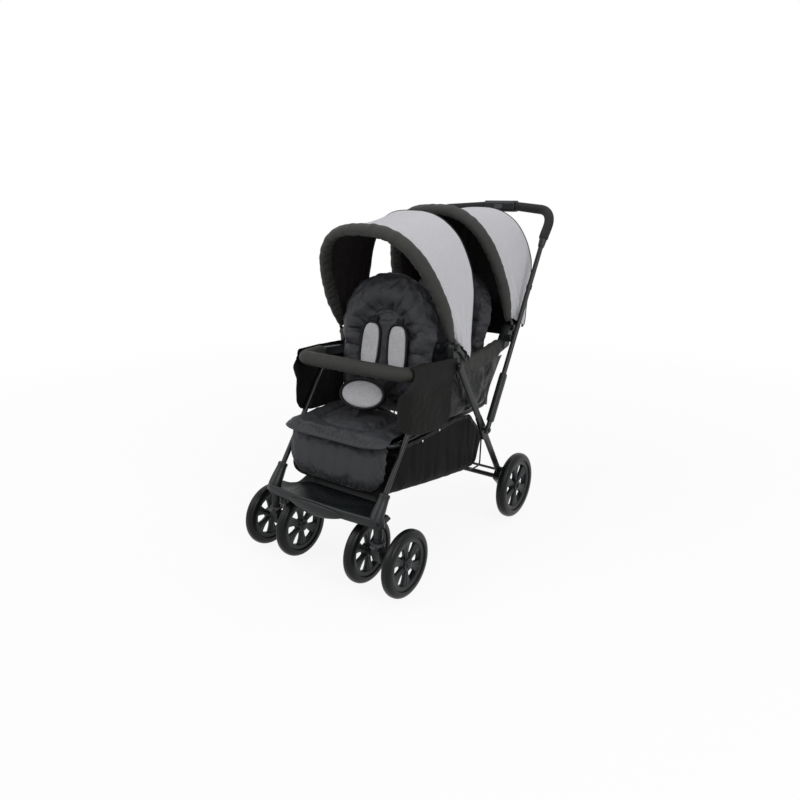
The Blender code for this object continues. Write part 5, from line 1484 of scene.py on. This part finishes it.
class STROLLER_OT_harnesses(bpy.types.Operator):
    """Sews the shoulder pads, the straps and the belly pad"""

    bl_idname = "stroller.harnesses"
    bl_label = "Harnesses"

    def execute(self, context):
        self.shoulders("front", FRONT_BACK_HINGE, FRONT_BACK_LEAN, 0.122, 0.274, 0.036)
        self.shoulders("rear", REAR_BACK_HINGE, REAR_BACK_LEAN, 0.125, 0.262, 0.024)
        self.belly()
        return {"FINISHED"}

    def shoulders(self, label, hinge, lean, low, high, half_w):
        """Two grey pads with wide piping, nearer together at the top than at the bottom, on
        webbing that comes out of the backrest over them and joins in the buckle below."""
        tilt = math.radians(lean)
        up = np.array([0.0, math.sin(tilt), math.cos(tilt)])
        out = np.array([0.0, -math.cos(tilt), math.sin(tilt)])
        base = np.array([0.0, *hinge])
        pads, edges, straps = [], [], []
        for side, _ in SIDES:
            top = base + up * high + out * 0.0370 + np.array([side * 0.049, 0, 0])
            bottom = base + up * low + out * 0.0370 + np.array([side * 0.056, 0, 0])
            middle, along = (top + bottom) / 2, top - bottom
            half_l = np.linalg.norm(along) / 2
            across = np.cross(along, out)
            pads.append(pillow(middle, across, along, half_w - 0.003, half_l - 0.003, 0.0062, 3.2,
                               12, 72, 0.10, 50 + side))
            line = edge_line(middle, across, along, half_w, half_l, 3.2)
            edges.append(carried(line, ring(0.0052, 0.0040, 12), out, True))
            above = [top + up * 0.002 - out * 0.002, top + up * 0.016 - out * 0.008,
                     top + up * 0.024 - out * 0.020]
            straps.append(strap(above, 0.0125, 0.0008, (1, 0, 0)))
            buckle = base + up * 0.075 + out * 0.034 + np.array([side * 0.020, 0, 0])
            below = [bottom + up * 0.010 - out * 0.002, bottom - up * 0.012, buckle]
            straps.append(strap(below, 0.0110, 0.0008, across))
        body = f"{label}_back"
        placed(f"{label}_shoulder_pads", pads, "pad_grey", body, f"{label}_harness")
        placed(f"{label}_shoulder_piping", edges, "piping", body)
        placed(f"{label}_straps", straps, "webbing", body)

    def belly(self):
        """The grey pad of the crotch strap: piped round, creased across, its strap going
        down through the seat."""
        tilt = math.radians(32.0)
        up = np.array([0.0, math.sin(tilt), math.cos(tilt)])
        centre = np.array([0.0, 0.150, 0.5145])
        half_w, half_l = 0.082, 0.046
        pad = pillow(centre, (1, 0, 0), up, half_w - 0.004, half_l - 0.004, 0.0085, 2.05, 14, 80,
                     0.16, 61)
        placed("belly_pad_cloth", [pad], "pad_grey", "chassis", "front_belly_pad")
        out = np.cross((1, 0, 0), up)
        line = edge_line(centre, (1, 0, 0), up, half_w, half_l, 2.05)
        placed("belly_pad_piping", [carried(line, ring(0.0072, 0.0050, 14), out, True)], "piping",
               "chassis")
        path = [centre - up * 0.044, (0.0, 0.120, 0.472), (0.0, 0.098, 0.4505)]
        keeper = pillow((0.0, 0.097, 0.4510), (1, 0, 0), (0, 1, 0.1), 0.020, 0.012, 0.0030, 4.0,
                        8, 40)
        placed("crotch_strap", [strap(path, 0.0125, 0.0009, (1, 0, 0)), keeper], "webbing",
               "chassis")


class STROLLER_OT_side_cloths(bpy.types.Operator):
    """Hangs the side panels and the tub of the rear seat"""

    bl_idname = "stroller.side_cloths"
    bl_label = "Side panels and rear tub"

    def execute(self, context):
        for side, word in SIDES:
            self.panel(side, word)
        self.tub()
        return {"FINISHED"}

    def panel(self, side, word):
        """A hemmed cloth laid over the arm and hanging outside it. Down the profile it first goes
        round the arm on a squarish oval, then falls, drawing in towards the seat; along
        its length its front edge bows forwards and its lower corner is rounded."""
        rows, columns = 62, 96
        turn_rows = 24
        s = np.linspace(0, 1, columns)[None]
        centre_x, centre_z = 0.1990, 0.6115
        y_front, y_rear = 0.107, 0.330
        y_top = y_front + s * (y_rear - y_front)
        start = np.radians(np.interp(y_top, (y_front, 0.175, 0.215, y_rear),
                                     (82.0, 82.0, 52.0, 30.0)))
        t = np.linspace(0, 1, turn_rows)[:, None]
        angle = start * (1 - t)
        wrap_x = centre_x + 0.0250 * signed_power(np.cos(angle), 2 / 3.2)
        wrap_z = centre_z + 0.0245 * signed_power(np.sin(angle), 2 / 2.4)
        bottom = np.interp(s, (0.0, 0.03, 0.08, 0.16, 0.30, 0.55, 1.0),
                           (0.474, 0.459, 0.448, 0.439, 0.431, 0.4265, 0.4255))
        fall = np.linspace(0, 1, rows - turn_rows + 1)[1:, None]
        fall_z = centre_z + fall * (bottom - centre_z)
        front = np.interp(fall_z, (0.425, 0.450, 0.480, 0.520, 0.560, 0.580, 0.600, 0.62),
                          (0.083, 0.073, 0.067, 0.067, 0.072, 0.083, 0.103, y_front))
        rear = np.interp(fall_z, (0.425, 0.480, 0.561, 0.600, 0.62),
                         (0.296, 0.309, 0.320, y_rear, y_rear))
        fall_y = front + s * (rear - front)
        fall_x = 0.2138 + 0.0102 * step_between(fall_z, 0.545, 0.600)
        ahead = step_between(-fall_y, -0.122, -0.066)
        fall_x = fall_x - 0.020 * ahead * step_between(-fall_z, -0.590, -0.545)
        soft = step_between(-fall_z, -0.585, -0.54)
        wave = 0.0022 * ripples(fall_y, fall_z * 0.45, 0.075, 70 + side)
        wave = wave + 0.0009 * ripples(fall_y, fall_z, 0.022, 74)
        fall_x = fall_x + (wave + 0.0008) * soft * (0.4 + 0.6 * step_between(fall_y, 0.06, 0.10))
        fall_x = np.minimum(fall_x, 0.2246)
        top = np.stack([wrap_x + 0 * y_top, y_top + 0 * wrap_x, wrap_z + 0 * y_top], -1)
        grid = np.concatenate([top, np.stack([fall_x, fall_y, fall_z], -1)])
        grid = grid * np.array([side, 1, 1])
        cloth = placed(f"side_panel_cloth_{word}", [thick(grid, 0.0012)], "panel_cloth", "chassis",
                       f"side_panel_{word}")
        hem = np.concatenate([grid[turn_rows:, 0], grid[-1, 1:], grid[turn_rows:-1, -1][::-1]])
        edge = carried(resampled(hem, 150), ring(0.0015, 0.0019, 10), (1, 0, 0))
        placed(f"side_panel_hem_{word}", [edge], "piping", "chassis")

    def tub(self):
        """The rear seat's cloth: down one side, under the pad and up the other, its sides
        full of creases that run back and down from the arms."""
        rows, columns = 70, 150
        half_w, top, floor, corner = 0.2112, 0.5750, 0.4240, 0.024
        corners = [(half_w, 0, top), (half_w, 0, floor), (-half_w, 0, floor), (-half_w, 0, top)]
        section = resampled(rounded_path(corners, corner, 12), columns)
        x, z = section[:, 0][None], section[:, 2][None]
        height = (z - floor) / (top - floor)
        share = np.linspace(0, 1, rows)[:, None]
        first = np.interp(height, (0.0, 0.92, 1.0), (0.300, 0.3270, 0.3520))
        last = 0.518 + height * 0.118
        y = first + share * (last - first)
        wall = step_between(np.abs(x), 0.185, 0.2105) * step_between(-height, -1.0, -0.86)
        edge = np.sin(math.pi * share) ** 0.5
        crease = np.abs(ripples(y * 0.35 + z * 0.9, (y * 0.9 - z * 0.5) * 0.35, 0.060, 80))
        push = wall * edge * (0.0046 * crease + 0.0008 * ripples(y, z, 0.045, 82)) - wall * 0.0010
        grid = np.stack([x + np.sign(x) * push, y, z + 0 * y], -1)
        cloth = placed("rear_tub_cloth", [thick(grid, 0.0016)], "shiny_nylon", "chassis",
                       "rear_seat_sling")


# y of the upper and the lower edge, z of the upper and the lower edge, half width
BASKET_STATIONS = ((0.092, 0.022, 0.4047, 0.266, 0.1917), (0.170, 0.130, 0.4080, 0.252, 0.2000),
                   (0.250, 0.230, 0.4150, 0.236, 0.2055), (0.350, 0.340, 0.4215, 0.219, 0.2060),
                   (0.440, 0.440, 0.4120, 0.2045, 0.2045), (0.5485, 0.5045, 0.318, 0.200, 0.192))


class STROLLER_OT_basket(bpy.types.Operator):
    """Sews the shopping basket under the seats"""

    bl_idname = "stroller.basket"
    bl_label = "Basket"

    def execute(self, context):
        """A trough drawn through stations: each is a box-like half oval, the cloth between
        the pleats swelling outwards, with a hem round the top and end panels."""
        stations = np.array(BASKET_STATIONS)
        rows, columns = 96, 150
        share = np.linspace(0, 1, rows)
        at = np.linspace(0, 1, len(stations))
        top_y, low_y, top_z, floor_z, half_w = [np.interp(share, at, stations[:, k])[:, None]
                                                for k in range(5)]
        angle = np.linspace(0, math.pi, columns)[None]
        power = 9.0
        x = half_w * signed_power(np.cos(angle), 2 / power)
        drop = np.sin(angle) ** (2 / power)
        z = top_z + drop * (floor_z - top_z)
        y = top_y + drop * (low_y - top_y)
        side = step_between(np.abs(x) / half_w, 0.93, 0.995)
        pleat = np.abs(np.sin(y * math.pi / 0.062 + 0.7 * ripples(y, z, 0.2, 90)))
        swell = side * np.sin(math.pi * np.clip(drop, 0, 1)) ** 0.6
        push = swell * (0.0040 * pleat ** 0.6 - 0.0028)
        push = push + 0.0014 * side * ripples(y, z * 0.4, 0.035, 91)
        sag = (1 - side) * -0.004 * (1 - (x / half_w) ** 2)
        sag = sag + (1 - side) * 0.0012 * ripples(x, y, 0.05, 92)
        grid = np.stack([x + np.sign(x) * push, y, z + sag * (drop > 0.9)], -1)
        shapes = [thick(grid, 0.0020)]
        for end, lean in ((0, 1.0), (-1, -1.0)):
            rim = grid[end]
            close = np.linspace(0, 1, 30)[:, None, None]
            lid = np.stack([rim[:, 0], np.interp(rim[:, 0], (-0.2, 0.2), (rim[0, 1], rim[-1, 1])),
                            0 * rim[:, 2] + rim[0, 2]], -1)
            panel = rim[None] * (1 - close) + lid[None] * close
            swell = lean * 0.004 * ripples(panel[..., 0], panel[..., 2], 0.05, 93)
            panel[..., 1] -= swell * (close[..., 0] > 0)
            shapes.append(thick(panel[:-1], 0.0016))
        placed("basket_cloth_body", shapes, "basket_cloth", "chassis", "basket")
        lines = [carried(resampled(grid[:, column] + np.array([0, 0, -0.004]), 120),
                         ring(0.0018, 0.0062, 16, 4.0), (1, 0, 0)) for column in (0, -1)]
        placed("basket_hem", lines, "piping", "chassis")
        head = [(0.0, 0.2075), (0.0036, 0.2080), (0.0036, 0.2092), (0.0022, 0.2102), (0.0, 0.2104)]
        studs = []
        for place in ((0.172, 0.402), (0.262, 0.411)):
            stud = turned(head, (0, *place), "x", 20)
            studs += [stud, mirror(stud)]
        placed("basket_studs", studs, "rivet", "chassis")
        return {"FINISHED"}


class STROLLER_OT_footboard(bpy.types.Operator):
    """Moulds the footboard with its lip, its leaf-shaped front and its sockets"""

    bl_idname = "stroller.footboard"
    bl_label = "Footboard"

    def execute(self, context):
        shapes = [self.tray(), self.lip(), self.leaf()] + self.sockets()
        placed("footboard_tray", shapes, "moulded_plastic", "chassis", "footboard")
        return {"FINISHED"}

    def front_line(self, y, x):
        """A front edge that reaches y at the board's corners and bows 12 mm ahead of it."""
        return y - 0.012 * (1 - (x / 0.2165) ** 2)

    def rear_line(self, x):
        """How far back the board goes: furthest in the middle, little behind the legs."""
        return 0.004 + 0.056 * (1 - step_between(np.abs(x), 0.120, 0.188))

    def tray(self):
        """A grid across and along the board: sunk between lip and rear wall, with shallow
        grooves across its middle, the underside a skin 4.5 mm below."""
        x = np.linspace(-0.2160, 0.2160, 145)[None]
        v = np.linspace(0, 1, 60)[:, None]
        front = self.front_line(-0.0545, x)
        y = front + v * (self.rear_line(x) - front)
        end = step_between(np.abs(x), 0.206, 0.2160)
        wall = step_between(v, 0.93, 1.0) * (1 - step_between(np.abs(x), 0.135, 0.165))
        grooves = 0.0012 * np.maximum(0, np.cos(y * 2 * math.pi / 0.011)) ** 4
        grooves = grooves * (np.abs(x) < 0.14) * (v > 0.22) * (v < 0.84)
        sunk = 0.0045 * np.sin(math.pi * np.clip(v * 1.05, 0, 1))
        z = 0.2300 - sunk + 0.026 * wall - 0.006 * end - grooves
        upper = np.stack([x + 0 * v, y, z], -1)
        lower = upper - np.array([0, 0, 0.0045])
        return two_skins(upper, lower)

    def lip(self):
        """An upright oval carried along the bowed front edge, drawn in at its ends."""
        x = np.linspace(-0.2145, 0.2145, 90)
        path = np.stack([x, self.front_line(-0.0560, x), 0 * x + 0.2285], -1)
        draw = np.clip(0.45 + np.minimum(np.arange(90), np.arange(90)[::-1]) / 7, 0, 1)
        section = np.stack([ring(0.0145 * d, 0.0075 * d, 24, 2.6) for d in draw])
        return carried(path, section, (0, 0, 1))

    def leaf(self):
        """A plate whose lower edge and forward bulge follow a cosine about the middle."""
        half_w = 0.105
        u = np.linspace(-1, 1, 81)[None]
        v = np.linspace(-1, 1, 19)[:, None]
        swell = np.cos(u * math.pi / 2) ** 0.8
        z = 0.2255 + v * (0.0045 + 0.0150 * swell) - 0.0045 * swell
        front = self.front_line(-0.0625, u * half_w)
        y = front - 0.0012 - swell * 0.0105 * np.sqrt(1 - 0.80 * v ** 2)
        face = np.stack([half_w * u + 0 * v, y, z], -1)
        back = face.copy()
        back[..., 1] = -0.0660 - 0.004 * swell
        return two_skins(face, back)

    def sockets(self):
        """Round sockets over the caster stems and tapered ones up the front legs."""
        made = []
        for side, _ in SIDES:
            stem = [(0.0, 0.2050), (0.0172, 0.2050), (0.0185, 0.2065), (0.0185, 0.2330),
                    (0.0172, 0.2360), (0.0, 0.2375)]
            made += on_side(side, turned(stem, (0.202, -0.035, 0.0), "z", 40))
            foot = FRONT_LEG_FOOT * (side, 1, 1)
            along = np.array([-0.046, -0.030, -0.010, 0.010, 0.026, 0.028, 0.036, 0.0385])
            radius = np.array([0.0185, 0.0195, 0.0185, 0.0165, 0.0150, 0.0158, 0.0155, 0.0120])
            section = np.stack([ring(r, r, 36) for r in radius])
            made.append(carried(foot + LEG_WAY * along[:, None], section, (1, 0, 0)))
        return made


class VIEW3D_PT_stroller(bpy.types.Panel):
    """Lists the stroller's pieces, sizes and colours"""

    bl_label = "Stroller"
    bl_space_type = "VIEW_3D"
    bl_region_type = "UI"
    bl_category = "Stroller"

    def draw(self, context):
        layout = self.layout
        for group in (context.scene.stroller_sizes, context.scene.stroller_colours):
            for name in group.__annotations__:
                layout.prop(group, name)
        for operator in OPERATORS:
            layout.operator(operator.bl_idname)


OPERATORS = (
    STROLLER_OT_finishes,
    STROLLER_OT_stage,
    STROLLER_OT_wheels,
    STROLLER_OT_tubes,
    STROLLER_OT_padded_bars,
    STROLLER_OT_canopies,
    STROLLER_OT_pads,
    STROLLER_OT_harnesses,
    STROLLER_OT_side_cloths,
    STROLLER_OT_basket,
    STROLLER_OT_footboard,
)
CLASSES = (StrollerColours, StrollerSizes, *OPERATORS, VIEW3D_PT_stroller)


def register():
    for cls in CLASSES:
        bpy.utils.register_class(cls)
    bpy.types.Scene.stroller_colours = bpy.props.PointerProperty(type=StrollerColours)
    bpy.types.Scene.stroller_sizes = bpy.props.PointerProperty(type=StrollerSizes)


def unregister():
    del bpy.types.Scene.stroller_sizes
    del bpy.types.Scene.stroller_colours
    for cls in reversed(CLASSES):
        bpy.utils.unregister_class(cls)


def main():
    """Makes every piece in turn."""
    register()
    for operator in OPERATORS:
        group, name = operator.bl_idname.split(".")
        getattr(getattr(bpy.ops, group), name)()


if __name__ == "__main__":
    main()
